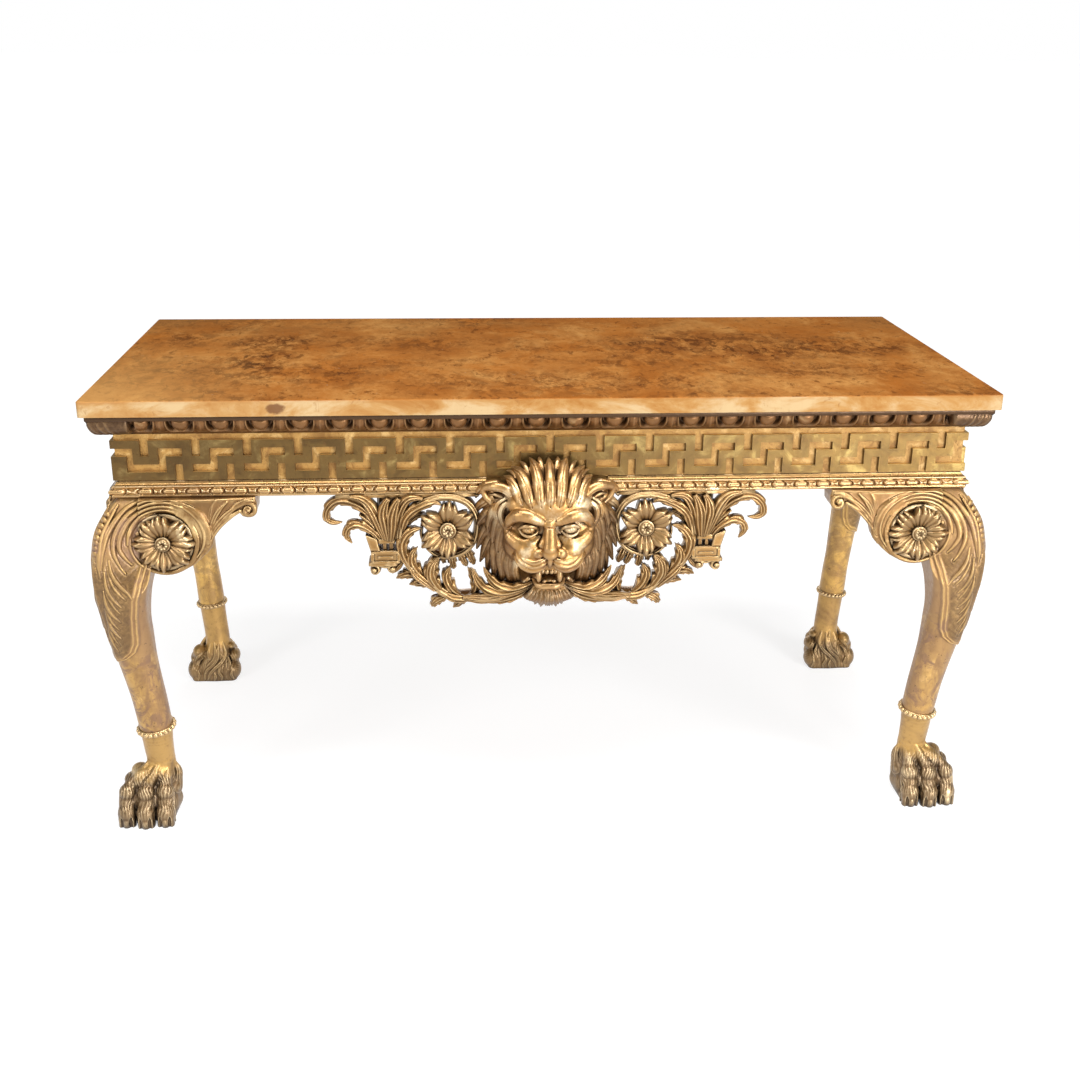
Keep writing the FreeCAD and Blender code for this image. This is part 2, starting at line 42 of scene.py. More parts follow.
# Gilt pier table with a marble slab: the carved pieces are shaped here, in millimetres, on the frame of the plain parts.
WORLD = 1.0
SKY = ((0.0, 1.0), (0.05, 1.0), (0.16, 0.30), (0.5, 0.17), (1.0, 0.20))
FLOOR = (0.34, 0.77, 0.93)
LAMPS = (
    ("overhead", (0.0, -1.0, 3.2), (0, -0.1, 0.6), (2.6, 1.2), 112.0),
    ("key", (2.6, -3.0, 2.3), (0, 0, 0.5), (1.2, 1.6), 82.0),
    ("fill", (-3.0, -2.6, 2.2), (0, 0, 0.5), (1.2, 1.5), 52.0),
    ("low front", (1.5, -3.2, 0.55), (0.35, 0, 0.65), (1.2, 0.7), 52.0),
    ("back", (0.5, 3.4, 1.4), (0, 0, 0.5), (2.6, 1.2), 26.0),
)

# ---------------------------------------------------------------- modelling helpers
def catmull(points, n):
    """Smooth curve through the points, n samples, evenly spaced in parameter along the polyline."""
    p = np.asarray(points, float)
    if len(p) == 2:
        t = np.linspace(0, 1, n)[:, None]
        return p[0] * (1 - t) + p[1] * t
    q = np.vstack([2 * p[0] - p[1], p, 2 * p[-1] - p[-2]])
    seg = np.linalg.norm(np.diff(p[:, :3], axis=0), axis=1)
    cum = np.concatenate([[0], np.cumsum(seg)])
    s = np.linspace(0, cum[-1], n)
    i = np.clip(np.searchsorted(cum, s, side="right") - 1, 0, len(p) - 2)
    t = ((s - cum[i]) / np.maximum(seg[i], 1e-9))[:, None]
    a, b, c, d = q[i], q[i + 1], q[i + 2], q[i + 3]
    return 0.5 * ((2 * b) + (-a + c) * t + (2 * a - 5 * b + 4 * c - d) * t**2 + (-a + 3 * b - 3 * c + d) * t**3)


def lerp_profile(vals, n):
    vals = np.asarray(vals, float)
    return np.interp(np.linspace(0, 1, n), np.linspace(0, 1, len(vals)), vals)


def smooth(a, k=2):
    for _ in range(k):
        b = a.copy()
        b[1:-1] = 0.25 * a[:-2] + 0.5 * a[1:-1] + 0.25 * a[2:]
        a = b
    return a


class Field:
    """A sampled distance field in millimetres; solids are added and carved with soft joins."""

    def __init__(self, lo, hi, vox):
        self.lo, self.vox = np.asarray(lo, float), vox
        n = np.ceil((np.asarray(hi, float) - self.lo) / vox).astype(int) + 1
        self.ax = [(self.lo[i] + vox * np.arange(n[i])).astype(np.float32) for i in range(3)]
        self.f = np.full(n, 50.0, np.float32)

    def _win(self, lo, hi, pad):
        sl = []
        for i in range(3):
            a = int(np.floor((lo[i] - pad - self.lo[i]) / self.vox))
            b = int(np.ceil((hi[i] + pad - self.lo[i]) / self.vox)) + 1
            a, b = max(a, 0), min(b, len(self.ax[i]))
            if a >= b:
                return None
            sl.append(slice(a, b))
        return tuple(sl)

    def _pts(self, w):
        return (self.ax[0][w[0]][:, None, None], self.ax[1][w[1]][None, :, None], self.ax[2][w[2]][None, None, :])

    def _join(self, w, d, k, mode):
        f = self.f[w]
        if mode == "add":
            if k > 0:
                h = np.clip(0.5 + 0.5 * (f - d) / k, 0, 1)
                self.f[w] = f * (1 - h) + d * h - k * h * (1 - h)
            else:
                self.f[w] = np.minimum(f, d)
        else:
            e = -d
            if k > 0:
                h = np.clip(0.5 - 0.5 * (f - e) / k, 0, 1)
                self.f[w] = f * (1 - h) + e * h + k * h * (1 - h)
            else:
                self.f[w] = np.maximum(f, e)

    def ball(self, c, r, k=3.0, mode="add", rot=None):
        c = np.asarray(c, float)
        r = np.asarray([r] * 3 if np.isscalar(r) else r, float)
        m = float(r.max())
        w = self._win(c - m, c + m, k + 4)
        if w is None:
            return
        x, y, z = self._pts(w)
        x, y, z = x - np.float32(c[0]), y - np.float32(c[1]), z - np.float32(c[2])
        if rot is not None:
            R = np.asarray(rot, np.float32)
            x, y, z = (R[0, 0] * x + R[0, 1] * y + R[0, 2] * z, R[1, 0] * x + R[1, 1] * y + R[1, 2] * z,
                       R[2, 0] * x + R[2, 1] * y + R[2, 2] * z)
        k0 = np.sqrt((x / r[0])**2 + (y / r[1])**2 + (z / r[2])**2)
        k1 = np.sqrt((x / r[0]**2)**2 + (y / r[1]**2)**2 + (z / r[2]**2)**2)
        d = k0 * (k0 - 1) / np.maximum(k1, 1e-6)
        self._join(w, d.astype(np.float32), k, mode)

    def strand(self, pts, radii, k=1.5, mode="add", n=14, flat=None, flat_amt=1.0):
        """A tapering round strand along a smooth path; flat squeezes it along one direction."""
        p = catmull(pts, n)
        r = lerp_profile(radii, n)
        lo = (p - r[:, None]).min(0)
        hi = (p + r[:, None]).max(0)
        w = self._win(lo, hi, k + 3)
        if w is None:
            return
        x, y, z = self._pts(w)
        best = None
        for i in range(n - 1):
            a, b = p[i], p[i + 1]
            ab = b - a
            L = max(float(ab @ ab), 1e-6)
            px, py, pz = x - np.float32(a[0]), y - np.float32(a[1]), z - np.float32(a[2])
            t = np.clip((px * np.float32(ab[0]) + py * np.float32(ab[1]) + pz * np.float32(ab[2])) / np.float32(L), 0, 1)
            qx, qy, qz = px - t * np.float32(ab[0]), py - t * np.float32(ab[1]), pz - t * np.float32(ab[2])
            if flat is not None:
                s = (qx * flat[0] + qy * flat[1] + qz * flat[2]) * np.float32(flat_amt - 1)
                qx, qy, qz = qx + s * flat[0], qy + s * flat[1], qz + s * flat[2]
            d = np.sqrt(qx * qx + qy * qy + qz * qz) - (np.float32(r[i]) + t * np.float32(r[i + 1] - r[i]))
            best = d if best is None else np.minimum(best, d)
        self._join(w, best.astype(np.float32), k, mode)

    def slab(self, lo, hi, round_=2.0, k=2.0, mode="add"):
        lo, hi = np.asarray(lo, float), np.asarray(hi, float)
        w = self._win(lo, hi, k + 4)
        if w is None:
            return
        pts = self._pts(w)
        c, h = (lo + hi) / 2, (hi - lo) / 2 - round_
        q = [np.abs(pts[i] - np.float32(c[i])) - np.float32(h[i]) for i in range(3)]
        out = np.sqrt(sum(np.maximum(v, 0)**2 for v in q))
        ins = np.minimum(np.maximum(np.maximum(q[0], q[1]), q[2]), 0)
        self._join(w, (out + ins - round_).astype(np.float32), k, mode)

    def clip_min(self, axis, value):
        """Keep only what lies at or above value along one axis."""
        shape = [1, 1, 1]
        shape[axis] = -1
        self.f = np.maximum(self.f, (value - self.ax[axis]).reshape(shape))

    def clip_max(self, axis, value):
        shape = [1, 1, 1]
        shape[axis] = -1
        self.f = np.maximum(self.f, (self.ax[axis] - value).reshape(shape))

    def mirror_x(self):
        """The field was sampled for x >= 0 from exactly 0; make the other half."""
        self.f = np.concatenate([self.f[:0:-1], self.f], axis=0)
        self.ax[0] = np.concatenate([-self.ax[0][:0:-1], self.ax[0]])
        self.lo[0] = self.ax[0][0]

    def mesh(self):
        g = openvdb.FloatGrid(50.0)
        f = np.pad(self.f, 1, constant_values=5.0)
        g.copyFromArray(np.ascontiguousarray(np.clip(f, -6, 6)))
        p, tri, quads = g.convertToPolygons(0.0, 0.0)
        V = (p - 1.0) * self.vox + self.lo
        faces = [q for q in (quads[:, ::-1], tri[:, ::-1]) if len(q)]
        return V, faces


class Pile:
    """Collects closed shells into one mesh."""

    def __init__(self):
        self.V, self.F, self.n = [], [], 0

    def add(self, V, F):
        """Add one closed shell, its faces turned to look outwards."""
        V = np.asarray(V, float)
        F = F if isinstance(F, list) else [F]
        Q, total = V - V.mean(0), 0.0
        for f in F:
            for i in range(1, f.shape[1] - 1):
                total += float(np.einsum("ij,ij->i", Q[f[:, 0]], np.cross(Q[f[:, i]], Q[f[:, i + 1]])).sum())
        self.V.append(V)
        for f in F:
            self.F.append(np.asarray(f if total > 0 else f[:, ::-1], np.int64) + self.n)
        self.n += len(V)

    def take(self):
        q = [f for f in self.F if f.shape[1] == 4]
        t = [f for f in self.F if f.shape[1] == 3]
        return np.vstack(self.V), [np.vstack(x) for x in (q, t) if x]


def grid_faces(n, m, wrap_m=False, wrap_n=False):
    i = np.arange(n if wrap_n else n - 1)
    j = np.arange(m if wrap_m else m - 1)
    I, J = np.meshgrid(i, j, indexing="ij")
    I2, J2 = (I + 1) % n, (J + 1) % m
    return np.stack([I * m + J, I * m + J2, I2 * m + J2, I2 * m + J], -1).reshape(-1, 4)


def frames(path, up):
    """Tangent, side and normal along a path; up is one vector or one per point."""
    T = np.gradient(path, axis=0)
    T /= np.maximum(np.linalg.norm(T, axis=1, keepdims=True), 1e-9)
    U = np.broadcast_to(np.asarray(up, float), path.shape).copy()
    S = np.cross(T, U)
    S /= np.maximum(np.linalg.norm(S, axis=1, keepdims=True), 1e-9)
    N = np.cross(S, T)
    return T, S, N


def tube(path, ru, rv, up, m=12, flutes=0, depth=0.0):
    """Swept closed rod: ru across, rv along the up direction; rounded ends come from the radii."""
    n = len(path)
    T, S, N = frames(path, up)
    a = np.linspace(0, 2 * np.pi, m, endpoint=False)
    k = 1 + depth * np.cos(flutes * a) if flutes else np.ones(m)
    ca, sa = (np.cos(a) * k)[None, :, None], (np.sin(a) * k)[None, :, None]
    V = path[:, None, :] + ca * S[:, None, :] * np.asarray(ru)[:, None, None] + sa * N[:, None, :] * np.asarray(rv)[:, None, None]
    V = V.reshape(-1, 3)
    F = grid_faces(n, m, wrap_m=True)
    c0, c1 = len(V), len(V) + 1
    V = np.vstack([V, path[0], path[-1]])
    j = np.arange(m)
    cap0 = np.stack([np.full(m, c0), (j + 1) % m, j], -1)
    b = (n - 1) * m
    cap1 = np.stack([np.full(m, c1), b + j, b + (j + 1) % m], -1)
    return V, [F, np.vstack([cap0, cap1])]


def leaf(path, up, width, crown=0.35, rib=1.0, flutes=3, flute_depth=0.16, lobes=0, lobe_depth=0.35, sweep=0.5,
         thick=4.0, m=25, wave=0.0, left=1.0, right=1.0, cup=0.0, tip_round=False):
    """Carved leaf: a fluted, crowned strip with swept lobes, closed at the back.
    width is the half width in mm along the path; crown the swell as a share of it."""
    n = len(path)
    T, S, N = frames(path, up)
    t = np.linspace(0, 1, n)
    s = np.linspace(-1, 1, m)
    w = np.asarray(width, float)
    L = np.sum(np.linalg.norm(np.diff(path, axis=0), axis=1))
    tt = t[:, None] + 0 * s[None, :]
    ss = 0 * t[:, None] + s[None, :]
    # lobes: the edge runs out, then is cut back sharply
    if lobes:
        ph = (tt * lobes) % 1.0
        saw = np.where(ph < 0.78, (ph / 0.78)**0.8, (1 - ph) / 0.22)
        edge = 1 - lobe_depth * (1 - saw) * np.abs(ss)**1.5 * np.clip(1.15 - tt, 0, 1)**0.2
    else:
        edge = 1.0
    side = np.where(ss < 0, left, right)
    fwd = sweep * np.abs(ss)**1.6 * w[:, None]
    fwd = fwd * np.clip((1 - tt) / 0.30, 0.02, 1)
    idx = np.clip(tt + fwd / max(L, 1e-6), 0, 1) * (n - 1)
    across = ss * (0.30 * w[:, None] + 0.70 * np.minimum(np.interp(idx, np.arange(n), w), 1.1 * w[:, None])) * edge * side
    i0 = np.clip(np.floor(idx).astype(int), 0, n - 2)
    fr = (idx - i0)[..., None]
    P = path[i0] * (1 - fr) + path[i0 + 1] * fr
    Sd = S[i0] * (1 - fr) + S[i0 + 1] * fr
    Nm = N[i0] * (1 - fr) + N[i0 + 1] * fr
    W = w[:, None]
    h = crown * W * (1 - ss**2) - cup * W * ss**2 * 0
    h = h + cup * W * (np.abs(ss)**2 - 0.35)
    if flutes:
        h = h + flute_depth * W * (np.abs(np.cos(np.pi * flutes * ss * 0.5 + (0 if flutes % 2 else np.pi / 2)))**0.7 - 0.5)
    h = h + rib * 0.10 * W * np.exp(-(ss / 0.13)**2)
    if wave:
        h = h + wave * W * np.sin(2 * np.pi * max(lobes, 2) * tt) * np.abs(ss)**1.5
    top = P + Sd * across[..., None] + Nm * h[..., None]
    th = thick * np.clip(np.minimum(t, 1 - t) * 6, 0.35, 1)[:, None] * (0.55 + 0.45 * (1 - ss**2))
    bot = P + Sd * (across * 0.94)[..., None] + Nm * (np.minimum(h, crown * W * (1 - ss**2)) - th)[..., None]
    V = np.concatenate([top.reshape(-1, 3), bot.reshape(-1, 3)])
    Ft = grid_faces(n, m)
    off = n * m
    Fb = Ft[:, ::-1] + off
    i = np.arange(n - 1)
    e0 = np.stack([i * m, (i + 1) * m, (i + 1) * m + off, i * m + off], -1)
    e1 = np.stack([i * m + m - 1, i * m + m - 1 + off, (i + 1) * m + m - 1 + off, (i + 1) * m + m - 1], -1)
    j = np.arange(m - 1)
    s0 = np.stack([j + 1, j, j + off, j + 1 + off], -1)
    b = (n - 1) * m
    s1 = np.stack([b + j, b + j + 1, b + j + 1 + off, b + j + off], -1)
    return V, [np.vstack([Ft, Fb, e0, e1, s0, s1])]


# ---------------------------------------------------------------- knees, brackets, legs and flowers
FRONT_LEG = [(668, 2, 77, 4), (645, 20, 88, 6), (604, 41, 99, 9), (560, 49, 102, 12), (520, 51, 97, 15), (480, 50, 87, 20), (435, 45, 78, 26), (395, 41, 76, 32),
             (345, 34, 71, 33), (294, 25, 66, 31), (253, 19, 64, 30.5), (210, 14.5, 63, 30.5), (190, 12.5, 62.5, 30.5)]
REAR_LEG = [(668, 2, 77, 4), (645, 14, 82, 6), (604, 26, 84, 9), (560, 31, 82, 12), (520, 31, 76, 15), (480, 29, 72, 20), (435, 25, 68, 26), (395, 21, 65, 28),
            (345, 15, 61, 28), (294, 10, 58, 28), (253, 6, 58, 28), (210, 3.5, 59, 28.5), (190, 2.5, 59, 28.5)]
EAR = [(36, 668), (243, 668), (246, 655), (245, 642), (238, 632), (228, 629), (219, 632), (213, 640), (199, 634), (184, 625), (170, 612), (159, 594), (152, 570),
       (140, 553), (126, 541), (112, 533), (94, 526), (75, 522), (58, 524), (41, 531), (36, 540)]


def poly_sd(poly, X, Z):
    """Signed distance to a closed polygon in the plane, negative inside."""
    P = np.asarray(poly, float)
    Q = np.roll(P, -1, axis=0)
    best = np.full(np.broadcast(X, Z).shape, 1e9)
    inside = np.zeros(best.shape, bool)
    for (ax, az), (bx, bz) in zip(P, Q):
        ex, ez = bx - ax, bz - az
        wx, wz = X - ax, Z - az
        t = np.clip((wx * ex + wz * ez) / (ex * ex + ez * ez), 0, 1)
        best = np.minimum(best, (wx - t * ex)**2 + (wz - t * ez)**2)
        c = ((az <= Z) & (bz > Z)) | ((bz <= Z) & (az > Z))
        with np.errstate(divide="ignore", invalid="ignore"):
            xi = ax + (Z - az) * ex / (ez if ez else 1e-9)
        inside ^= c & (X < xi)
    return np.where(inside, -1, 1) * np.sqrt(best)


def ear_field(vox=1.25):
    """Knee bracket in (s along the rail from the corner, e out of the frieze face, z)."""
    F = Field((30.0, -34.0, 514.0), (252.0, 48.0, 672.0), vox)
    S, E, Z = F._pts((slice(None),) * 3)
    d2 = poly_sd(EAR, S[:, :, :], Z)
    d2 = np.where(np.broadcast_to(S < 37, d2.shape), np.minimum(d2, 36.2 - S + 0 * d2), d2)
    swell = 3.5 * np.exp(-((S - 150) / 60.0)**2) - 6.0 * np.clip((S - 150) / 90.0, 0, 1)
    a, b = d2 + 5.0, np.abs(E + 2.5 - swell / 2) - (27.5 + swell / 2) + 5.0
    F.f = (np.sqrt(np.maximum(a, 0)**2 + np.maximum(b, 0)**2) + np.minimum(np.maximum(a, b), 0) - 5.0).astype(np.float32)
    cx, cz = 75.5, 586.0
    r = np.sqrt((S - cx)**2 + (Z - cz)**2)
    # sunk disc behind the flower, with a rim and a sunk field above it
    cut = np.maximum(r - 55.5, 19.5 - E)
    F.f = np.maximum(F.f, -cut).astype(np.float32)
    field = [(62, 642), (76, 645), (92, 643), (112, 634), (126, 617), (133, 598), (129, 590), (122, 606), (104, 628), (76, 639), (60, 637)]
    cut = np.maximum(poly_sd(field, S, Z), 20.5 - E)
    h = np.maximum(F.f, -cut)
    F.f = h.astype(np.float32)

    def ridge(pts, radii, e=26.0, k=1.6, n=20, mode="add"):
        F.strand([(p[0], p[2] if len(p) > 2 else e, p[1]) for p in pts], radii, k=k, n=n, mode=mode)

    def groove(pts, r=1.4, e=27.5, n=18):
        F.strand([(p[0], p[2] if len(p) > 2 else e, p[1]) for p in pts], [r * 0.5, r, r, r * 0.5], k=0.8, n=n, mode="cut")

    ang = np.radians(np.linspace(-118, 62, 15))
    ridge([(cx + 59.5 * math.cos(t), cz + 59.5 * math.sin(t)) for t in ang], [3.6, 4.2, 4.2, 2.6], e=24.5)
    ang = np.radians(np.linspace(-100, 30, 11))
    groove([(cx + 66 * math.cos(t), cz + 66 * math.sin(t)) for t in ang], 1.6, 27.6)
    # roll over the flower, ending in a small curl on the leg side
    for rad, a0, a1, r in ((62.5, 176, 62, 2.6), (69.5, 172, 58, 2.8), (77.0, 150, 60, 2.8), (84.0, 128, 66, 2.4)):
        arc = [(cx + rad * math.cos(t), min(cz + rad * math.sin(t), 667.5)) for t in np.radians(np.linspace(a0, a1, 11))]
        ridge(arc, [r, r, r, r * 0.8, 0.8], e=26.8, k=0.7, n=30)
        arc = [(cx + (rad + 3.6) * math.cos(t), min(cz + (rad + 3.6) * math.sin(t), 668)) for t in np.radians(np.linspace(a0, a1 + 6, 11))]
        groove(arc, 1.5, 26.6, 30)
    # crescent leaf round the right of the disc
    ridge([(96, 663), (122, 655), (146, 634), (157, 606), (155, 580), (141, 558)], [3, 8.5, 10.5, 10, 8, 2.5], e=23.0, k=2.5, n=24)
    ridge([(100, 660), (122, 650), (141, 630), (150, 604), (147, 580), (134, 558)], [1.0, 2.6, 3.0, 3.0, 2.6, 1.0], e=30.5, k=1.2, n=24)
    for o in (-4.5, 4.5, 9.0):
        groove([(104, 661 + o * 0.6), (125 + o * 0.4, 652 + o * 0.6), (146 + o * 0.7, 632 + o * 0.5), (155.5 + o, 606), (153 + o, 582)], 1.3, 31.0 - abs(o) * 0.35, 22)
    # small leaf against the disc and its curled foot
    ridge([(112, 634), (126, 616), (130, 598), (126, 584)], [1.5, 4.5, 4.0, 1.5], e=24.0)
    # spray of leaves along the arm
    for pts, rr in (
        ([(150, 566), (160, 592), (176, 615), (198, 634), (216, 645)], [3, 5, 5.2, 4.6, 3.2]),
        ([(156, 584), (168, 612), (186, 634), (206, 650), (226, 660)], [2.5, 4.6, 5.2, 4.6, 3.0]),
        ([(160, 600), (168, 628), (180, 648), (194, 662)], [2.5, 4.8, 5.0, 2.2]),
        ([(160, 612), (162, 638), (167, 655), (174, 665)], [2.0, 4.0, 4.0, 1.8]),
        ([(198, 648), (212, 658), (226, 664), (240, 664)], [1.6, 3.6, 4.2, 2.2]),
    ):
        ridge(pts, rr, e=25.0, k=1.0)
        p = catmull(pts, 8)[1:-1]
        groove([tuple(v) for v in p], 1.3, 29.4)
    a = np.linspace(math.radians(120), math.radians(-330), 22)
    rr = np.interp(np.linspace(0, 1, 22), [0, 1], [14.5, 3.5])
    ridge([(231 + q * math.cos(t), 645.5 + q * math.sin(t)) for q, t in zip(rr, a)], [4.2, 4.6, 4.2, 3.2], e=22.5, k=1.0, n=40)
    F.ball((231, 23, 645.5), (4.5, 5, 4.5), k=1)
    # nothing stands nearer the corner than s = 36
    F.f = np.maximum(F.f, (36.0 - S) + 0 * F.f).astype(np.float32)
    F.clip_max(2, 667.9)
    F.clip_min(1, -30.0)
    return F


def leg_tab(table, z):
    t = np.array(table[::-1], float)
    zz = np.clip(z, t[0, 0], t[-1, 0])
    # smooth interpolation through the stations
    out = []
    for c in (1, 2, 3):
        p = catmull(np.stack([t[:, 0], t[:, c], 0 * t[:, 0]], 1), 400)
        out.append(np.interp(zz, p[:, 0], p[:, 1]))
    return out


BORDER = [(575, -0.05), (552, 0.05), (530, 0.09), (495, 0.115), (470, 0.135), (440, 0.16), (412, 0.19), (392, 0.235), (376, 0.34), (362, 0.58), (350, 0.95), (344, 1.4)]


def leaf_edge(o, w, rear, P, Q, Z):
    """Place across the leg in either direction, and the distance inside the edge of its leaf."""
    fa = (P - (o - w)) / w
    fb = Q / np.minimum(w, 75.0) if rear else (Q - (o - w)) / w
    m = np.minimum(fa, 1.25 - 1.1 * np.abs(fb - 0.5)) if rear else np.minimum(fa, fb)
    zb = np.array([v[0] for v in BORDER][::-1], float)
    ab = np.array([v[1] for v in BORDER][::-1], float)
    scal = 0.009 * np.abs(np.sin(np.pi * (Z - 350) / 33.0))
    return fa, fb, (m - np.interp(Z, zb, ab) + scal) * w


def leaf_tone(table, rear, V):
    """How deep each point of the leg lies in the toned field of its leaf, from 0 to 1."""
    o, w, r = leg_tab(table, V[:, 2].astype(float))
    q = leaf_edge(o, w, rear, V[:, 0], V[:, 1], V[:, 2])[2]
    return np.clip((q - 12.0) / 5.0, 0, 1) * np.clip((V[:, 2] - 352) / 16.0, 0, 1) * np.clip((575 - V[:, 2]) / 45.0, 0, 1)


def leg_field(table, rear=False, vox=1.3):
    """Leg in (p out to the side, q out to the front, z), both from the frieze corner."""
    lo = (-82.0, -82.0, 187.0)
    hi = (60.0, 60.0, 671.0)
    if rear:
        lo = (-82.0, -6.0, 187.0)
        hi = (46.0, 86.0, 671.0)
    F = Field(lo, hi, vox)
    P, Q, Z = F._pts((slice(None),) * 3)
    o, w, r = leg_tab(table, F.ax[2].astype(float))
    o, w, r = (v[None, None, :] for v in (o, w, r))
    if rear:
        # q runs forward from the wall plane here
        dpt = np.minimum(w, 75.0)
        cx, hx = o - w / 2, w / 2
        cq, hq = dpt / 2, dpt / 2
    else:
        cx = cq = o - w / 2
        hx = hq = w / 2
    a, b = np.abs(P - cx) - hx + r, np.abs(Q - cq) - hq + r
    d = np.sqrt(np.maximum(a, 0)**2 + np.maximum(b, 0)**2) + np.minimum(np.maximum(a, b), 0) - r
    if not rear:
        # between the arris and the flower the face falls back to the plane of the bracket
        up = np.clip((Z - 470) / 85.0, 0, 1)
        up = up * up * (3 - 2 * up)

        def fall(A):
            t = np.clip((A + 34.0) / (o + 26.0), 0, 1)
            return 25.5 + (np.maximum(o, 26.0) - 25.5) * t**0.8
        d = np.maximum(d, np.where(up > 0, (Q - (fall(P) * up + (1 - up) * (o + 3.0))) * 0.9, -99))
        d = np.maximum(d, np.where(up > 0, (P - (fall(Q) * up + (1 - up) * (o + 3.0))) * 0.9, -99))
    # leaf wrapped over the outer corner, its edge scalloped
    fa, fb, q = leaf_edge(o, w, rear, P, Q, Z)
    mask = np.clip(q / 2.5 + 0.5, 0, 1)
    mask = mask * mask * (3 - 2 * mask)
    top = np.clip((640 - Z) / 40.0, 0, 1)
    vein = np.abs(np.sin(np.pi * ((Z - 350) / 33.0 * 2 + np.clip(q, 0, 60) / 13.0)))**0.6
    rim = np.exp(-((q - 3.0) / 2.4)**2) + 0.75 * np.exp(-((q - 11.0) / 2.0)**2) - 0.5 * np.exp(-((q - 7.2) / 1.6)**2)
    body = np.clip((Z - 344) / 20.0, 0, 1) * np.clip((575 - Z) / 40.0, 0, 1)
    relief = 3.6 * mask * np.clip((600 - Z) / 60.0, 0, 1) + mask * body * (0.35 * (vein - 0.6) * np.clip((q - 13) / 5.0, 0, 1) + 1.7 * rim)
    # the rib down the arris
    diag = np.abs(fa - fb) * w if not rear else np.abs(fa - 1.0 + 0 * fb) * 60
    if not rear:
        relief = relief + mask * body * 1.8 * np.exp(-(diag / 6.0)**2)
    F.f = (d - relief).astype(np.float32)

    def onto(x, z, out=0.0):
        """Front-face surface point of the leg at p = x."""
        i = int(round((x - F.lo[0]) / vox))
        k = int(round((z - F.lo[2]) / vox))
        i = min(max(i, 0), F.f.shape[0] - 1)
        k = min(max(k, 0), F.f.shape[2] - 1)
        col = base[i, :, k]
        j = np.where(col < 0)[0]
        if len(j) == 0:
            return (x, o[0, 0, k] - 3, z)
        return (x, F.ax[1][j[-1]] + out, z)

    base = F.f.copy()
    if rear:
        # the outer side carries the same fan, drawn on the p face
        def face(x, z, out):
            k = min(max(int(round((z - F.lo[2]) / vox)), 0), F.f.shape[2] - 1)
            return (float(o[0, 0, k]) + out - 0.6, (36.0 - x) * 0.72 + 6.0, z)
        sides = (face,)
    else:
        def front(x, z, out):
            return onto(x, z, out)

        def side(x, z, out):
            p = onto(x, z, out)
            return (p[1], p[0], p[2])
        sides = (front, side)
    fan = [
        ([(37.5, 661), (10, 647), (-17, 613), (-29, 577), (-34, 545)], [2.4, 3.8, 4.6, 3.8, 1.2], 0.2),
        ([(37.5, 644), (16, 627), (2, 602), (-1, 580), (9, 560), (18, 548)], [2.4, 3.8, 4.6, 4.4, 3.4, 1.2], 0.6),
        ([(37.5, 636), (24, 620), (16, 602), (13, 586)], [2.4, 3.4, 3.8, 1.6], 0.4),
        ([(37.5, 653), (13, 637), (-7, 606), (-11, 576), (-2, 548), (7, 533)], [2.4, 3.4, 4.0, 4.0, 3.0, 1.0], 0.2),
        ([(-2, 655), (-22, 622), (-33, 588), (-38, 556), (-36, 530)], [1.4, 3.0, 3.4, 3.2, 1.0], 0.2),
        ([(-20, 560), (-17, 536), (-6, 515), (8, 500), (16, 488)], [1.6, 3.4, 3.8, 3.2, 1.0], 0.0),
        ([(-29, 540), (-27, 512), (-18, 488), (-4, 470)], [1.4, 3.0, 3.2, 1.0], 0.0),
        ([(-33, 505), (-31, 480), (-24, 458), (-10, 440)], [1.2, 2.8, 3.0, 1.0], 0.0),
        ([(-34, 470), (-32, 446), (-26, 424), (-13, 406)], [1.2, 2.6, 2.8, 1.0], 0.0),
        ([(-24, 548), (-20, 524), (-10, 503), (4, 486)], [1.0, 2.2, 2.4, 0.9], 0.0),
        ([(-30, 524), (-27, 498), (-19, 474), (-8, 457)], [1.0, 2.2, 2.4, 0.9], 0.0),
        ([(-33, 488), (-31, 462), (-25, 440), (-14, 424)], [1.0, 2.0, 2.2, 0.9], 0.0),
        ([(-34, 452), (-32, 430), (-27, 408), (-17, 390)], [1.0, 2.0, 2.2, 0.9], 0.0),
        ([(-34, 434), (-33, 412), (-29, 392), (-21, 376)], [1.0, 2.2, 2.2, 0.9], 0.0),
    ]
    for f in sides:
        runs = []
        for pts, rr, out in fan:
            q3 = []
            for s, z in pts:
                if s > 38:
                    continue
                q3.append(f(-s, min(z, 667), out))
            if len(q3) > 1:
                runs.append((q3, rr[-len(q3):]))
        for q3, rr in runs:
            c = np.array(q3, float)
            r3 = np.array(rr, float)
            c[:, 1 if f is sides[0] and not rear else 0] += 0.75 * r3
            F.strand(c, list(r3 + (1.9 if q3[0][2] > 600 else 0.9)), k=1.6, n=20, mode="cut")
        for q3, rr in runs:
            F.strand(q3, [1.18 * v for v in rr], k=0.8, n=20)
        # the ring round the flower, on the leg's side of it
        if not rear:
            ang = np.radians(np.linspace(122, 238, 10))
            ring = [f(-(75.5 + 58.5 * math.cos(t)), 586 + 58.5 * math.sin(t), 0.0) for t in ang]
            F.strand(ring, [2.4, 3.2, 3.2, 2.4], k=1.0, n=20)
            c = f(-31, 604, 1.0)
            F.ball(c, (4.6, 3.4, 4.6) if f is sides[0] else (3.4, 4.6, 4.6), k=1.0)
    if not rear:
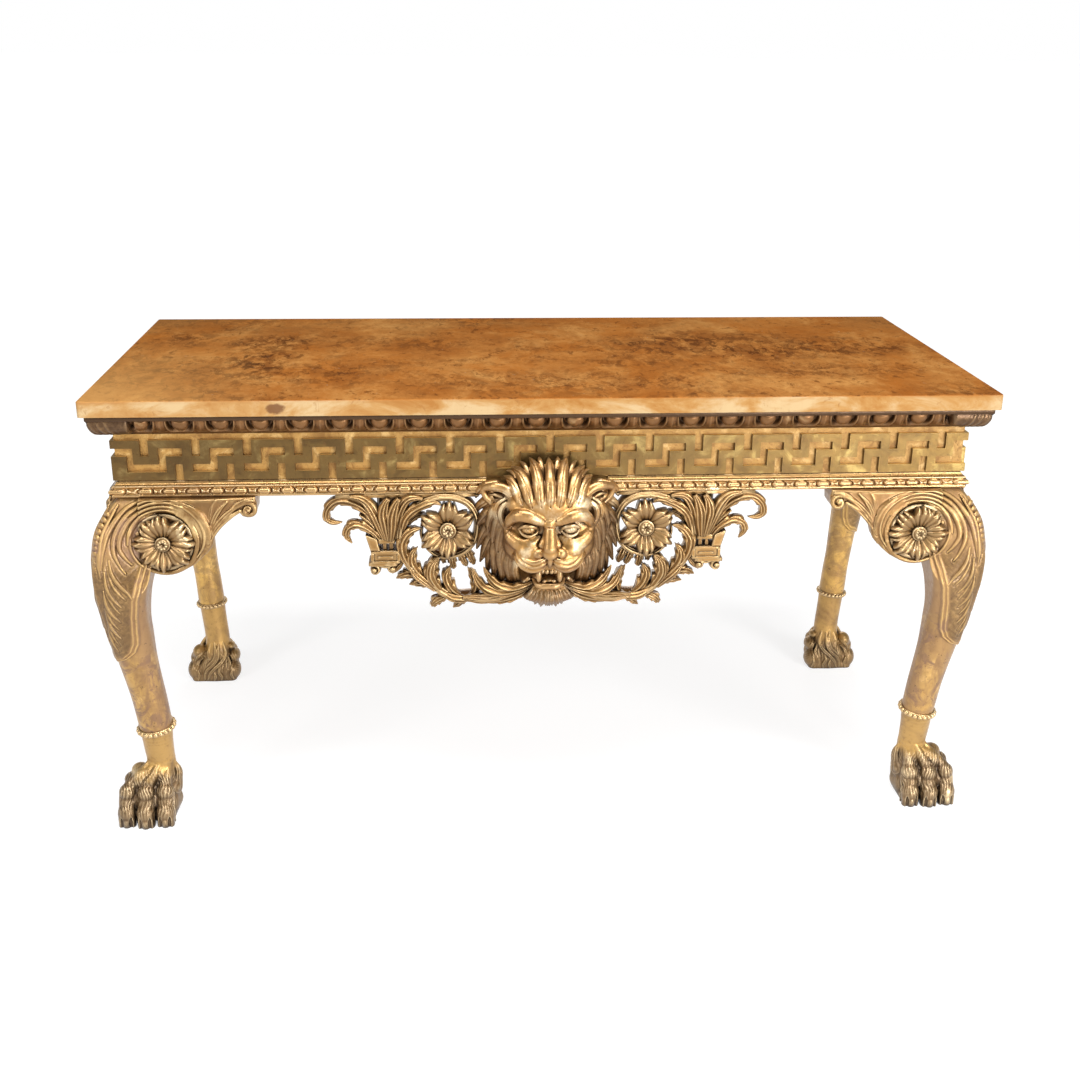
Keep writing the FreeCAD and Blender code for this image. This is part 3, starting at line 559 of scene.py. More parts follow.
        # scales down the arris of the knee
        n = np.array([1.0, 1.0, 0]) / math.sqrt(2)
        t = np.array([1.0, -1.0, 0]) / math.sqrt(2)
        for i, z in enumerate(np.arange(640, 520, -9.5)):
            k = int(round((z - F.lo[2]) / vox))
            oo, rr = float(o[0, 0, k]), float(r[0, 0, k])
            c = np.array([oo - rr * 0.29, oo - rr * 0.29, z]) - n * 1.0
            R = np.array([t, n, [0, 0, 1]])
            F.ball(c, (8.5, 3.6, 6.6), k=0.6, rot=R)
            F.strand([c + t * 7.5 + n * 2.0 + [0, 0, -3], c + n * 3.4 + [0, 0, -5.5], c - t * 7.5 + n * 2.0 + [0, 0, -3]], [0.5, 1.0, 0.5], k=0.5, n=7, mode="cut")
        for s in (-1, 1):
            pts = []
            for z in (648, 610, 570, 530, 505):
                k = int(round((z - F.lo[2]) / vox))
                oo, rr = float(o[0, 0, k]), float(r[0, 0, k])
                pts.append(np.array([oo - rr * 0.25, oo - rr * 0.25, z]) + t * s * 10.5 - n * 4.0)
            F.strand(pts, [2.4, 3.0, 3.0, 1.5], k=1.0, n=20)
    F.clip_min(2, 190.0)
    F.clip_max(2, 668.0)
    return F


def petal(r0, r1, half, ridges, height, lift, n=26, m=45, tip=0.24, seed=0.0, roll=0.60, fall=0.20, taper=0.16):
    """One ruffled petal lying along +u with its face to +h: returns the (u, v, h) grid of its face."""
    u = np.linspace(0, 1, n)[:, None]
    v = np.linspace(-1, 1, m)[None, :]
    ph = ridges * v / 2 + (0.5 if ridges % 2 else 0.0) + 0.08 * np.sin(seed * 1.9) + 0.05 * np.sin(4 * u + seed)
    sc = 1 - np.abs(2 * (ph - np.floor(ph)) - 1)
    sc = np.sin(np.pi * sc / 2)
    # the middle lobe stands out furthest, the lobes are parted by notches
    length = (r1 - r0) * (1 - tip * (1 - sc[-1:])**1.3 - fall * np.abs(v)**2.0) * (1 + 0.04 * np.sin(seed * 3.1))
    U = r0 + u * length
    w = half * (0.34 + 0.66 * np.sin(np.clip(u * 1.9, 0, np.pi / 2))**1.2) * (1 - taper * np.clip((u - 0.60) / 0.40, 0, 1)**1.6)
    V = v * w * (1 + 0.04 * np.sin(7 * u + seed))
    H = lift * np.sin(u * np.pi * 0.66)**1.1 + height * (0.7 + 0.3 * u) * (sc**0.8 - 0.5) * (1 + 0.25 * np.sin(3.0 * v + 2.0 * seed))
    # the edges roll well down between one petal and the next, the end curls
    H = H - roll * half * np.abs(v)**2.6 * (0.25 + 0.75 * u) - 0.55 * lift * np.clip((u - 0.72) / 0.28, 0, 1)**2 + 1.6 * np.sin(seed * 2.3) * u + 2.6 * np.sin(1.3 * seed) * v * u
    return U, V, H


def flower_mesh(radius, petals, half, ridges, back_petals, button, base, lift, height, twist=0.0, disc=None, tip=0.16, roll=0.60, fall=0.20, taper=0.16):
    """Rosette about the h axis: (a, b, h) with h outward."""
    pile = Pile()

    def place(U, V, H, th, dh, thick):
        n, m = H.shape
        c, s = math.cos(th), math.sin(th)
        top = np.stack([U * c - V * s, U * s + V * c, H + dh + 0 * U], -1)
        bot = np.stack([U * c - V * 0.96 * s, U * s + V * 0.96 * c, np.minimum(H, H.min(1, keepdims=True) + 2) + dh - thick + 0 * U], -1)
        Vv = np.concatenate([top.reshape(-1, 3), bot.reshape(-1, 3)])
        Ft = grid_faces(n, m)[:, ::-1]
        off = n * m
        i = np.arange(n - 1)
        j = np.arange(m - 1)
        e0 = np.stack([i * m, i * m + off, (i + 1) * m + off, (i + 1) * m], -1)
        e1 = np.stack([i * m + m - 1, (i + 1) * m + m - 1, (i + 1) * m + m - 1 + off, i * m + m - 1 + off], -1)
        s0 = np.stack([j + 1, j + 1 + off, j + off, j], -1)
        b = (n - 1) * m
        s1 = np.stack([b + j, b + j + off, b + j + 1 + off, b + j + 1], -1)
        pile.add(Vv, np.vstack([Ft, Ft[:, ::-1] + off, e0, e1, s0, s1])[:, ::-1])

    if back_petals:
        for i in range(petals):
            U, V, H = petal(8, radius * 0.86, half * 0.62, 3, height * 0.5, lift * 0.15, seed=i)
            place(U, V, H, twist + 2 * math.pi * (i + 0.5) / petals, base, 4.0)
    for i in range(petals):
        U, V, H = petal(9, radius, half, ridges, height, lift, tip=tip, seed=i * 1.7, roll=roll, fall=fall, taper=taper)
        place(U, V, H, twist + 2 * math.pi * i / petals + 0.07 * math.sin(2.3 * i), base + 7.0 + 1.4 * math.sin(4.1 * i), 6.0)
    # seat, ring of small grains and the button
    a = np.linspace(0, 2 * np.pi, 40, endpoint=False)

    def turned(profile):
        pr = np.array(profile, float)
        R, H = pr[:, 0][:, None], pr[:, 1][:, None]
        V = np.stack([R * np.cos(a), R * np.sin(a), H + 0 * a], -1).reshape(-1, 3)
        Fc = grid_faces(len(pr), len(a), wrap_m=True)
        pile.add(V, Fc)

    turned([(0.01, base), (radius * 0.60, base), (radius * 0.60, base + 2), (radius * 0.3, base + 6), (0.01, base + 6)])
    if disc:
        turned([(0.01, base - 0.4), (disc[0], base - 0.4), (disc[0], disc[1] - 1.6), (disc[0] - 1.4, disc[1]), (disc[0] - 7.0, disc[1] + 0.3), (disc[0] - 9.0, disc[1] - 1.5), (0.01, disc[1] - 1.5)])
    b = base + lift * 0.55 + 7
    turned([(0.01, b - 12), (button * 1.22, b - 12), (button * 1.28, b - 1), (button * 1.14, b + 1.8), (button * 1.0, b + 0.6), (button * 0.94, b + 2.0),
            (button * 0.76, b + 4.4), (button * 0.40, b + 4.8), (button * 0.30, b + 1.8), (0.01, b + 1.2)])
    ph = np.linspace(0, np.pi, 7)
    th = np.linspace(0, 2 * np.pi, 9)[:-1]

    def bead(x, y, h, r):
        V = np.stack([x + r * np.sin(ph)[:, None] * np.cos(th), y + r * np.sin(ph)[:, None] * np.sin(th), h + r * np.cos(ph)[:, None] + 0 * th], -1).reshape(-1, 3)
        pile.add(V, grid_faces(7, 8, wrap_m=True)[:, ::-1])

    for i in range(8):
        t = 2 * np.pi * (i + 0.3) / 8
        bead(button * 0.64 * math.cos(t), button * 0.64 * math.sin(t), b + 4.4, button * 0.27)
    return pile.take()


# ---------------------------------------------------------------- carved mouldings
EGG_PROFILE = [(0, 781), (4, 781), (4, 785), (8, 787), (17, 790), (26, 797), (32, 806), (34.5, 816), (38, 817), (38, 826), (0, 826)]
BEAD_PROFILE = [(0, 668), (11, 668), (11.5, 671), (13.5, 674), (14, 679), (13, 683.5), (10, 686.5), (8, 687.5), (2.5, 696), (0, 696)]


def strip(profile, relief, x0, x1, dx, mitre0, mitre1, sub):
    """Moulding along u from x0 to x1, closed at the back; profile, (out, z) from the bottom of the face to its top, is
    not used.
    relief(u, t, out, z) gives the carved profile; a mitre slants the end by the projection."""
    n = int(round((x1 - x0) / dx)) + 1
    u = np.linspace(x0, x1, n)
    O, Zp = relief(u)
    m = O.shape[1]
    U = np.repeat(u[:, None], m, 1)
    k0 = np.clip(1 - (U - x0) / 45.0, 0, 1) if mitre0 else 0
    k1 = np.clip(1 - (x1 - U) / 45.0, 0, 1) if mitre1 else 0
    U = U - O * k0 + O * k1
    V = np.stack([U, O, Zp], -1)
    back = np.zeros((n, 2, 3))
    back[:, 0] = np.stack([u, 0 * u, Zp[:, -1]], 1)
    back[:, 1] = np.stack([u, 0 * u, Zp[:, 0]], 1)
    V = np.concatenate([V, back], 1)
    mm = m + 2
    F = grid_faces(n, mm, wrap_m=True)
    P = V.reshape(-1, 3)
    cap = []
    c0, c1 = len(P), len(P) + 1
    P = np.vstack([P, V[0].mean(0), V[-1].mean(0)])
    j = np.arange(mm)
    cap.append(np.stack([np.full(mm, c0), (j + 1) % mm, j], -1))
    b = (n - 1) * mm
    cap.append(np.stack([np.full(mm, c1), b + j, b + (j + 1) % mm], -1))
    return P, [F, np.vstack(cap)]


def egg_strip(x0, x1, pitch, phase, dx=1.1, corner0=True, corner1=True):
    prof = np.array(EGG_PROFILE[1:-1], float)
    # dense profile: fillet below, the ovolo, fillet above
    low = np.array([(2.0, 784.2), (4, 784.2), (4.4, 787), (7, 788.0)])
    t = np.linspace(0, 1, 30)
    ov = catmull(np.array([(8, 788.6, 0), (17, 791.4, 0), (26, 798, 0), (32, 806.5, 0), (34.5, 816, 0)], float), 30)[:, :2]
    hi = np.array([(37.2, 816.6), (38, 817.4), (38, 825.4), (37.4, 826)])
    tg = np.gradient(ov, axis=0)
    tg /= np.linalg.norm(tg, axis=1, keepdims=True)
    nrm = np.stack([tg[:, 1], -tg[:, 0]], 1)
    arc = np.concatenate([[0], np.cumsum(np.linalg.norm(np.diff(ov, axis=0), axis=1))])
    L = arc[-1]

    def relief(u):
        q = ((u - phase) / pitch + 0.5) % 1.0 - 0.5
        X = (q * pitch)[:, None]
        A = arc[None, :]
        # the egg: broad and cut flat by the fillet above, pointed below
        cy = L - 4.0
        ry = np.where(A < cy, 31.0, 26.0)
        rx = 17.0 * (1 - 0.08 * np.clip((cy - A) / 30.0, 0, 1)**2)
        k = np.sqrt((X / rx)**2 + ((A - cy) / ry)**2)
        egg = np.sqrt(np.clip(1 - k**2, 0, 1)) * 14.0 - 10.0
        k2 = np.sqrt((X / 25.5)**2 + ((A - cy) / 39.0)**2)
        shell = np.clip((k2 - 0.82) / 0.12, 0, 1)
        shell = shell * shell * (3 - 2 * shell)
        h = np.where(k < 1, np.maximum(egg, -10.5), -10.5 + 11.0 * shell)
        # dart: a broad bell-shaped leaf between the shells, with one soft rib
        Xd = (np.where(q > 0, q - 0.5, q + 0.5) * pitch)[:, None]
        hw = np.interp(arc, [0, 6, 14, 24, L], [13.0, 11.5, 9.0, 8.5, 9.5])[None, :]
        out = np.clip(1 - (np.abs(Xd) / hw)**2, 0, 1)
        outside = k2 > 1.0
        rib = np.exp(-(Xd / 2.2)**2)
        h = np.where(outside, np.maximum(0.5 - 3.4 * np.clip((k2 - 1.0) / 0.05, 0, 1), -2.9 + 3.2 * out + 0.9 * rib * np.clip((A - 8) / 10, 0, 1)), h)
        h = h * np.clip(A / 2.0, 0, 1) * np.clip((L - A) / 0.8, 0, 1)
        # leaf wrapped round the mitre
        for on, e in ((corner0, u - x0), (corner1, x1 - u)):
            if on:
                e = e[:, None]
                w = np.clip((40.0 - e) / 2.0, 0, 1)
                # thin ridges near the mitre, parallel to it; smooth further in
                run = e + 0.2 * A
                stri = 1.9 * np.exp(-(((run + 1.0) % 7.5 - 3.75) / 1.5)**2) * np.clip((33.0 - run) / 4.0, 0, 1)
                stri = stri * np.clip(A / 2.0, 0, 1) * np.clip((L - A) / 0.8, 0, 1) + 4.0 * np.sin(np.pi * np.clip(A / L, 0, 1))
                gut = -8.0 * np.exp(-((e - 42.0) / 3.0)**2) * np.clip(A / 6.0, 0, 1)
                h = h * (1 - w) + stri * w
                h = np.minimum(h, np.where(np.abs(e - 42) < 5, h + gut, h))
        oo = ov[None, :, 0] + nrm[None, :, 0] * h
        zz = ov[None, :, 1] + nrm[None, :, 1] * h
        n = len(u)
        O = np.concatenate([np.repeat(low[None, :, 0], n, 0), oo, np.repeat(hi[None, :, 0], n, 0)], 1)
        Z = np.concatenate([np.repeat(low[None, :, 1], n, 0), zz, np.repeat(hi[None, :, 1], n, 0)], 1)
        return np.maximum(O, 0.6), Z

    return strip(EGG_PROFILE, relief, x0, x1, dx, corner0, corner1, None)


def bead_strip(x0, x1, pitch, phase, dx=0.9, corner0=True, corner1=True):
    low = np.array([(4.0, 668), (10.4, 668.0), (11, 668.6), (11.4, 670.4)])
    mid = catmull(np.array([(11.6, 671, 0), (13.0, 673.5, 0), (13.4, 678.5, 0), (12.6, 683, 0), (10.2, 686.4, 0)], float), 26)[:, :2]
    hi = np.array([(10.4, 687.0), (10.6, 688.0), (9.6, 688.9), (7.6, 689.4), (5.4, 691.0), (3.8, 693.2), (3.0, 695.2), (2.6, 696.0)])
    arc = np.concatenate([[0], np.cumsum(np.linalg.norm(np.diff(mid, axis=0), axis=1))])
    L = arc[-1]
    tg = np.gradient(mid, axis=0)
    tg /= np.linalg.norm(tg, axis=1, keepdims=True)
    nrm = np.stack([tg[:, 1], -tg[:, 0]], 1)

    def relief(u):
        q = ((u - phase) / pitch + 0.5) % 1.0 - 0.5
        X = (q * pitch)[:, None]
        A = arc[None, :] - L / 2
        # oblong bead in a sunk oval
        ex = np.maximum(np.abs(X) - 6.6, 0)
        k = np.sqrt((ex / 5.8)**2 + (A / 5.8)**2)
        bead = np.sqrt(np.clip(1 - k**2, 0, 1)) * 7.4 - 4.6
        k2 = np.sqrt((ex / 8.2)**2 + (A / 8.4)**2)
        well = -1.4 - 3.6 * np.clip((np.abs(X) - 3.0) / 6.0, 0, 1)**2
        side = well + (-0.4 - well) * np.clip((k2 - 0.92) / 0.14, 0, 1)
        h = np.where(k < 1, bead, side)
        # bow of two husks between the beads
        Xd = (np.where(q > 0, q - 0.5, q + 0.5) * pitch)[:, None]
        hw = 1.6 + 0.62 * np.abs(Xd)
        inside = np.clip(1 - np.abs(A) / hw, 0, 1)
        husk = -3.6 + 6.0 * np.sqrt(inside) - 1.3 * (np.abs(Xd) < 1.0) - 0.8 * np.exp(-(A / 0.8)**2) * (np.abs(Xd) > 2)
        h = np.where((k2 > 1.02), np.where(inside > 0, husk, -3.8), h)
        h = h * np.clip(np.minimum(arc, L - arc) / 0.8, 0, 1)[None, :]
        oo = mid[None, :, 0] + nrm[None, :, 0] * h
        zz = mid[None, :, 1] + nrm[None, :, 1] * h
        n = len(u)
        O = np.concatenate([np.repeat(low[None, :, 0], n, 0), oo, np.repeat(hi[None, :, 0], n, 0)], 1)
        Z = np.concatenate([np.repeat(low[None, :, 1], n, 0), zz, np.repeat(hi[None, :, 1], n, 0)], 1)
        return np.maximum(O, 0.6), Z

    return strip(BEAD_PROFILE, relief, x0, x1, dx, corner0, corner1, None)


# ---------------------------------------------------------------- apron scrolls
OUT = (0.0, -1.0, 0.0)
S1 = [(120, 466), (134, 464), (166, 462), (188, 471), (209, 487), (226, 500), (247, 520), (261, 541), (270, 571), (269, 598), (260, 621), (246, 639), (224, 653),
      (202, 661), (181, 662), (164, 659), (147, 650), (135, 634), (129, 614), (130, 593), (137, 573), (152, 556), (174, 547), (192, 545), (211, 553), (225, 569),
      (232, 589), (230, 605)]


def path3(pts, y, n, tip=0.0, start=0.0, belly=0.0):
    """Curve in the plane of the apron at depth y; tip and start lean the ends forward, belly the middle."""
    p = np.array(pts, float)
    c = catmull(np.stack([p[:, 0], 0 * p[:, 0], p[:, 1]], 1), n)
    t = np.linspace(0, 1, n)
    c[:, 1] = y - tip * t**2 - start * (1 - t)**2 - belly * np.sin(np.pi * t)
    return c


def scroll_right():
    P = Pile()

    def stem(pts, hw, y, depth, n=60, grooves=0, **k):
        c = path3(pts, y, n, **k)
        ru = lerp_profile(hw, n)
        rv = lerp_profile(depth, n) if not np.isscalar(depth) else np.full(n, float(depth))
        P.add(*tube(c, ru, rv, OUT, m=20))

    def lf(pts, hw, y, n=36, lobes=0, lobe_depth=0.3, flutes=3, fd=0.2, thick=14, crown=0.4, left=1.0, right=1.0, sweep=0.7, rib=1.0, cup=0.0, **k):
        c = path3(pts, y, n, **k)
        P.add(*leaf(c, OUT, lerp_profile(hw, n), crown=crown, rib=rib, flutes=flutes, flute_depth=fd, lobes=lobes, lobe_depth=lobe_depth, sweep=sweep,
                    thick=thick, m=25, left=left, right=right, cup=cup))

    # main stem and the ring it coils into, moulded with two grooves
    n = 180
    c = path3(S1, -313.0, n)
    t = np.linspace(0, 1, n)
    hw = np.interp(t, [0, 0.12, 0.3, 0.45, 0.62, 0.8, 1.0], [9, 10, 10, 10, 8.5, 6.5, 3.5])
    dp = np.interp(t, [0, 0.3, 0.5, 0.75, 1.0], [21, 22, 21, 20, 16])
    P.add(*tube(c, hw, dp, OUT, m=24))
    for off, r, y in ((0.0, 3.6, -333.0), (-0.55, 2.2, -330.0), (0.55, 2.2, -330.0)):
        T = np.gradient(c, axis=0)
        T /= np.linalg.norm(T, axis=1, keepdims=True)
        side = np.cross(T, OUT)
        q = c + side * (hw * off)[:, None]
        q[:, 1] = y + (1 - np.clip(hw / 9, 0.4, 1)) * 8
        P.add(*tube(q, np.interp(t, [0, 0.03, 0.9, 1], [0.5, r, r * 0.7, 0.4]), np.interp(t, [0, 0.03, 0.9, 1], [0.5, r * 1.1, r * 0.8, 0.4]), OUT, m=8))

    def lf3(pts, hw, n=40, lobes=4, lobe_depth=0.45, flutes=3, fd=0.32, thick=16, crown=0.4, left=1.0, right=1.0, sweep=1.0, rib=1.2):
        """Leaf along (x, z, distance in front of the frieze)."""
        p = np.array(pts, float)
        c = catmull(np.stack([p[:, 0], -315.0 - p[:, 2], p[:, 1]], 1), n)
        P.add(*leaf(c, OUT, lerp_profile(hw, n), crown=crown, rib=rib, flutes=flutes, flute_depth=fd, lobes=lobes, lobe_depth=lobe_depth, sweep=sweep,
                    thick=thick, m=29, left=left, right=right))

    # stem out of the lion's mouth and the leaves that break from it
    q = np.array([(24, 506, 56), (44, 494, 52), (70, 482, 42), (98, 472, 30), (122, 466, 18), (140, 463, 4)], float)
    c = catmull(np.stack([q[:, 0], -315.0 - q[:, 2], q[:, 1]], 1), 40)
    P.add(*tube(c, np.interp(np.linspace(0, 1, 40), [0, 0.3, 1], [6, 9, 10]), np.interp(np.linspace(0, 1, 40), [0, 0.3, 1], [7, 12, 20]), OUT, m=18))
    lf3([(28, 512, 62), (48, 503, 62), (72, 496, 54), (94, 501, 44), (109, 514, 36), (119, 532, 34)], [4, 10, 13, 12, 9, 1.2], lobes=4, left=1.0, right=0.9)
    lf3([(36, 504, 64), (60, 494, 60), (88, 486, 48), (114, 490, 36), (130, 505, 30), (139, 528, 30)], [4, 10, 13, 13, 10, 1.2], lobes=5)
    lf3([(34, 500, 60), (54, 485, 56), (76, 474, 46), (96, 465, 36), (108, 458, 30)], [4, 10, 13, 10, 1.5], lobes=4)
    lf3([(50, 488, 54), (62, 478, 52), (70, 468, 46)], [5, 8, 1.5], lobes=2, flutes=3)
    lf3([(60, 488, 56), (92, 475, 44), (126, 467, 30), (158, 466, 22)], [4, 10, 11, 4], lobes=0, flutes=5, fd=0.3)

    # leaves springing inside the curve of the stem
    A = dict(fd=0.30, sweep=1.15, crown=0.60)
    lf([(146, 464), (136, 474), (132, 490), (138, 508), (147, 524)], [7, 12, 12, 8, 1.2], -325, lobes=3, lobe_depth=0.58, tip=7, thick=22, flutes=3, **A)
    lf([(160, 467), (174, 478), (184, 494), (187, 510), (180, 528)], [8, 13, 14, 10, 1.2], -325, lobes=3, lobe_depth=0.58, tip=8, thick=24, flutes=3, **A)
    lf([(194, 473), (208, 491), (217, 511), (214, 532), (200, 548)], [9, 15, 18, 14, 1.5], -327, lobes=4, lobe_depth=0.58, tip=9, thick=26, flutes=5, left=1.15, right=0.9, **A)
    lf([(226, 497), (240, 518), (250, 537), (249, 555), (240, 567)], [8, 12, 14, 10, 1.2], -327, lobes=3, lobe_depth=0.58, tip=9, thick=24, flutes=3, **A)
    lf([(251, 523), (264, 548), (268, 573), (259, 591), (247, 600), (231, 605)], [8, 13, 15, 13, 9, 1.2], -328, lobes=4, lobe_depth=0.54, tip=6, thick=24, flutes=3, **A)
    lf([(270, 590), (262, 620), (247, 638), (226, 649), (207, 654), (194, 648)], [7, 12, 13, 12, 9, 1.2], -329, lobes=4, lobe_depth=0.46, tip=4, thick=22, flutes=3, **A)
    lf([(256, 607), (244, 621), (229, 626), (216, 617)], [4, 7, 6, 1.2], -322, lobes=3, lobe_depth=0.4, thick=14, **A)
    # sheath where the leaves leave the stem
    lf([(208, 480), (222, 494), (240, 510), (256, 530)], [4, 9, 9, 3], -334, flutes=3, thick=10, crown=0.5, fd=0.3)
    lf([(136, 464), (152, 462), (174, 464), (198, 477)], [3, 9, 9, 3], -333, flutes=3, thick=10, crown=0.5, fd=0.3)
    # tips below the stem
    lf([(228, 500), (247, 507), (264, 508), (281, 500)], [6, 12, 11, 1.0], -318, lobes=4, lobe_depth=0.5, thick=18, flutes=3, **A)
    lf([(208, 487), (228, 490), (243, 491), (257, 488)], [6, 11, 9, 1.0], -320, lobes=3, lobe_depth=0.5, thick=18, flutes=3, **A)
    lf([(180, 468), (196, 460), (208, 453), (216, 442)], [6, 13, 13, 2], -318, lobes=4, lobe_depth=0.5, thick=18, flutes=5, **A)
    lf([(143, 461), (157, 453), (167, 446), (176, 439)], [5, 9, 8, 1.0], -318, lobes=3, lobe_depth=0.5, thick=16, **A)
    # hanging leaves under the ring
    for pts, w in (([(150, 560), (143, 543), (135, 525)], [8, 11, 3]), ([(164, 552), (157, 537), (149, 522)], [8, 10, 3]), ([(178, 549), (176, 533), (173, 517)], [9, 11, 3]),
                   ([(194, 547), (193, 538), (191, 529)], [8, 8, 2])):
        lf(pts, w, -312, lobes=3, lobe_depth=0.45, thick=16, flutes=3, tip=5, **A)

    # husk of the side stem: a bell of four leaves below the rail
    stem([(292, 578), (291, 604), (289, 632), (284, 667)], [9, 17, 23, 27], -306, [15, 17, 18, 18], n=24)
    lf([(283, 580), (277, 611), (270, 638), (258, 657), (243, 662), (228, 660)], [6, 10, 12, 11, 8, 3], -326, thick=18, flutes=3, tip=6, crown=0.7, fd=0.34)
    lf([(288, 580), (286, 607), (284, 630), (278, 650), (271, 663)], [6, 11, 13, 10, 4], -332, thick=16, flutes=3, tip=7, crown=0.7, fd=0.36)
    lf([(293, 580), (297, 611), (300, 634), (296, 652), (290, 663)], [6, 11, 13, 10, 4], -331, thick=16, flutes=3, tip=7, crown=0.7, fd=0.36)
    lf([(298, 580), (307, 606), (315, 629), (326, 650), (341, 662), (361, 666)], [6, 10, 12, 12, 8, 3], -326, thick=18, flutes=3, tip=5, crown=0.7, fd=0.34)
    for x, z in ((288, 600), (301, 602), (286, 640), (306, 636)):
        P.add(*tube(np.array([(x, -327.0, z - 8), (x, -333.0, z), (x, -327.0, z + 8)]), np.array([1.5, 4.0, 1.5]), np.array([1.5, 3.0, 1.5]), OUT, m=10))
    # outer leaves turned over
    lf([(303, 574), (311, 602), (323, 627), (342, 646), (365, 656), (386, 655), (402, 640), (404, 622), (392, 614), (376, 615)], [6, 9, 12, 13, 13, 12, 11, 9, 7, 1.2], -319,
       n=80, lobes=7, lobe_depth=0.46, thick=24, flutes=3, tip=6, left=0.95, right=1.1, **A)
    lf([(304, 572), (318, 593), (335, 606), (352, 611), (366, 604), (369, 590), (359, 576)], [6, 9, 11, 11, 10, 8, 1.2], -324, n=70, lobes=5, lobe_depth=0.46, thick=22, flutes=3, tip=7, **A)
    stem([(310, 590), (326, 612), (344, 628)], [4, 7, 3], -314, 12, n=16)

    # square block with a sunk panel, two pegs over it and a slanting pilaster
    def hexa(c, k=8):
        """Six-sided block from its corners c[x][y][z], its faces cut into small squares."""
        c = np.array(c, float)
        g = np.linspace(0, 1, k)
        A, B = np.meshgrid(g, g, indexing="ij")
        vs, fs = [], []
        for ax in range(3):
            for v in (0.0, 1.0):
                q = np.zeros((k * k, 3))
                q[:, ax], q[:, (ax + 1) % 3], q[:, (ax + 2) % 3] = v, A.ravel(), B.ravel()
                u = np.stack([1 - q, q], -1)
                f = grid_faces(k, k) + len(vs) * k * k
                vs.append(np.einsum("ni,nj,nk,ijkd->nd", u[:, 0], u[:, 1], u[:, 2], c))
                fs.append(f if v else f[:, ::-1])
        V, inv = np.unique(np.round(np.vstack(vs), 5), axis=0, return_inverse=True)
        F = inv.ravel()[np.vstack(fs)]
        a, b, d = V[F[:, 0]], V[F[:, 1]], V[F[:, 2]]
        e = V[F[:, 3]]
        m = V.mean(0)
        vol = np.einsum("ij,ij->i", a - m, np.cross(b - m, d - m)).sum() + np.einsum("ij,ij->i", a - m, np.cross(d - m, e - m)).sum()
        P.add(V, F if vol > 0 else F[:, ::-1])

    def box(x0, x1, y0, y1, z0, z1):
        hexa([[[(x, y, z) for z in (z0, z1)] for y in (y0, y1)] for x in (x0, x1)])

    box(272, 325, -333, -290, 537, 560)
    for a in ((272, 325, 556, 560), (272, 325, 537, 541), (272, 277, 541, 556), (320, 325, 541, 556)):
        box(a[0], a[1], -336, -333, a[2], a[3])
    box(284, 313, -335.2, -333, 546.5, 550.5)
    box(284, 291, -326, -296, 560, 578)
    box(297, 303, -326, -296, 560, 578)
    box(280, 312, -330, -294, 574, 582)
    hexa([[[(308, y, 558), (314, y, 583)] for y in (-333, -292)], [[(325, y, 558), (334, y, 591)] for y in (-333, -292)]])
    box(278, 330, -334, -292, 531, 537)
    # volute feet and the small leaf under the block
    for cx, cz, r0, s in ((320, 521, 10.5, -1), (287, 523, 8.0, 1)):
        a = np.linspace(math.radians(90 + s * 30), math.radians(90 + s * 30) - s * 2 * math.pi * 1.2, 40)
        rr = np.linspace(r0, 2.0, 40)
        sp = np.stack([cx + rr * np.cos(a), np.full(40, -313.0), cz + rr * np.sin(a)], 1)
        P.add(*tube(sp, np.linspace(5.4, 3.0, 40), np.full(40, 20.0), OUT, m=12))
        P.add(*tube(np.array([(cx, -334.0, cz), (cx, -292.0, cz)]), np.array([4.0, 4.0]), np.array([4.0, 4.0]), (0, 0, 1), m=12))
    stem([(286, 532), (298, 528), (312, 531), (326, 530)], [4, 6, 6, 4], -313, 20, n=16)
    lf([(268, 536), (276, 527), (284, 517), (288, 512)], [5, 8, 6, 1.5], -322, thick=16)
    # strip against the rail
    box(126, 386, -327, -292, 662, 668)
    return P.take()


# ---------------------------------------------------------------- paws
def comb_fur(F, vox, seed, fur, top, pitch=6.2):
    """Combed grooves running with the tendons over knuckles, toes and flanks."""
    X, Y, Z = F._pts((slice(None),) * 3)
    g = np.gradient(F.f, vox)
    nx = np.abs(g[0]) / np.maximum(np.sqrt(g[0]**2 + g[1]**2 + g[2]**2), 1e-6)
    del g
    warp = 3.4 * np.sin(Z / 9.5 + Y / 13.0 + seed) + 2.2 * np.sin(Y / 6.0 - Z / 15.0 + X / 14.0)
    c1 = np.abs(np.sin(np.pi * (X + warp - (Z - 60) * 0.10) / pitch))
    c2 = np.abs(np.sin(np.pi * (Y * 0.85 + Z * 0.55 + warp * 1.3) / (pitch + 0.4)))
    k = np.clip((nx - 0.55) / 0.25, 0, 1)
    fade = np.clip((top - Z) / 16, 0, 1) * (0.20 + 0.80 * np.clip((Z - 24) / 14, 0, 1))
    vary = 0.62 + 0.38 * np.sin(X / 7.0 + Z / 16.0 + seed) * np.sin(Y / 9.0 - Z / 10.0)
    F.f = (F.f + (0.62 - (c1 * (1 - k) + c2 * k)**0.8) * 2.3 * fur * fade * vary).astype(np.float32)


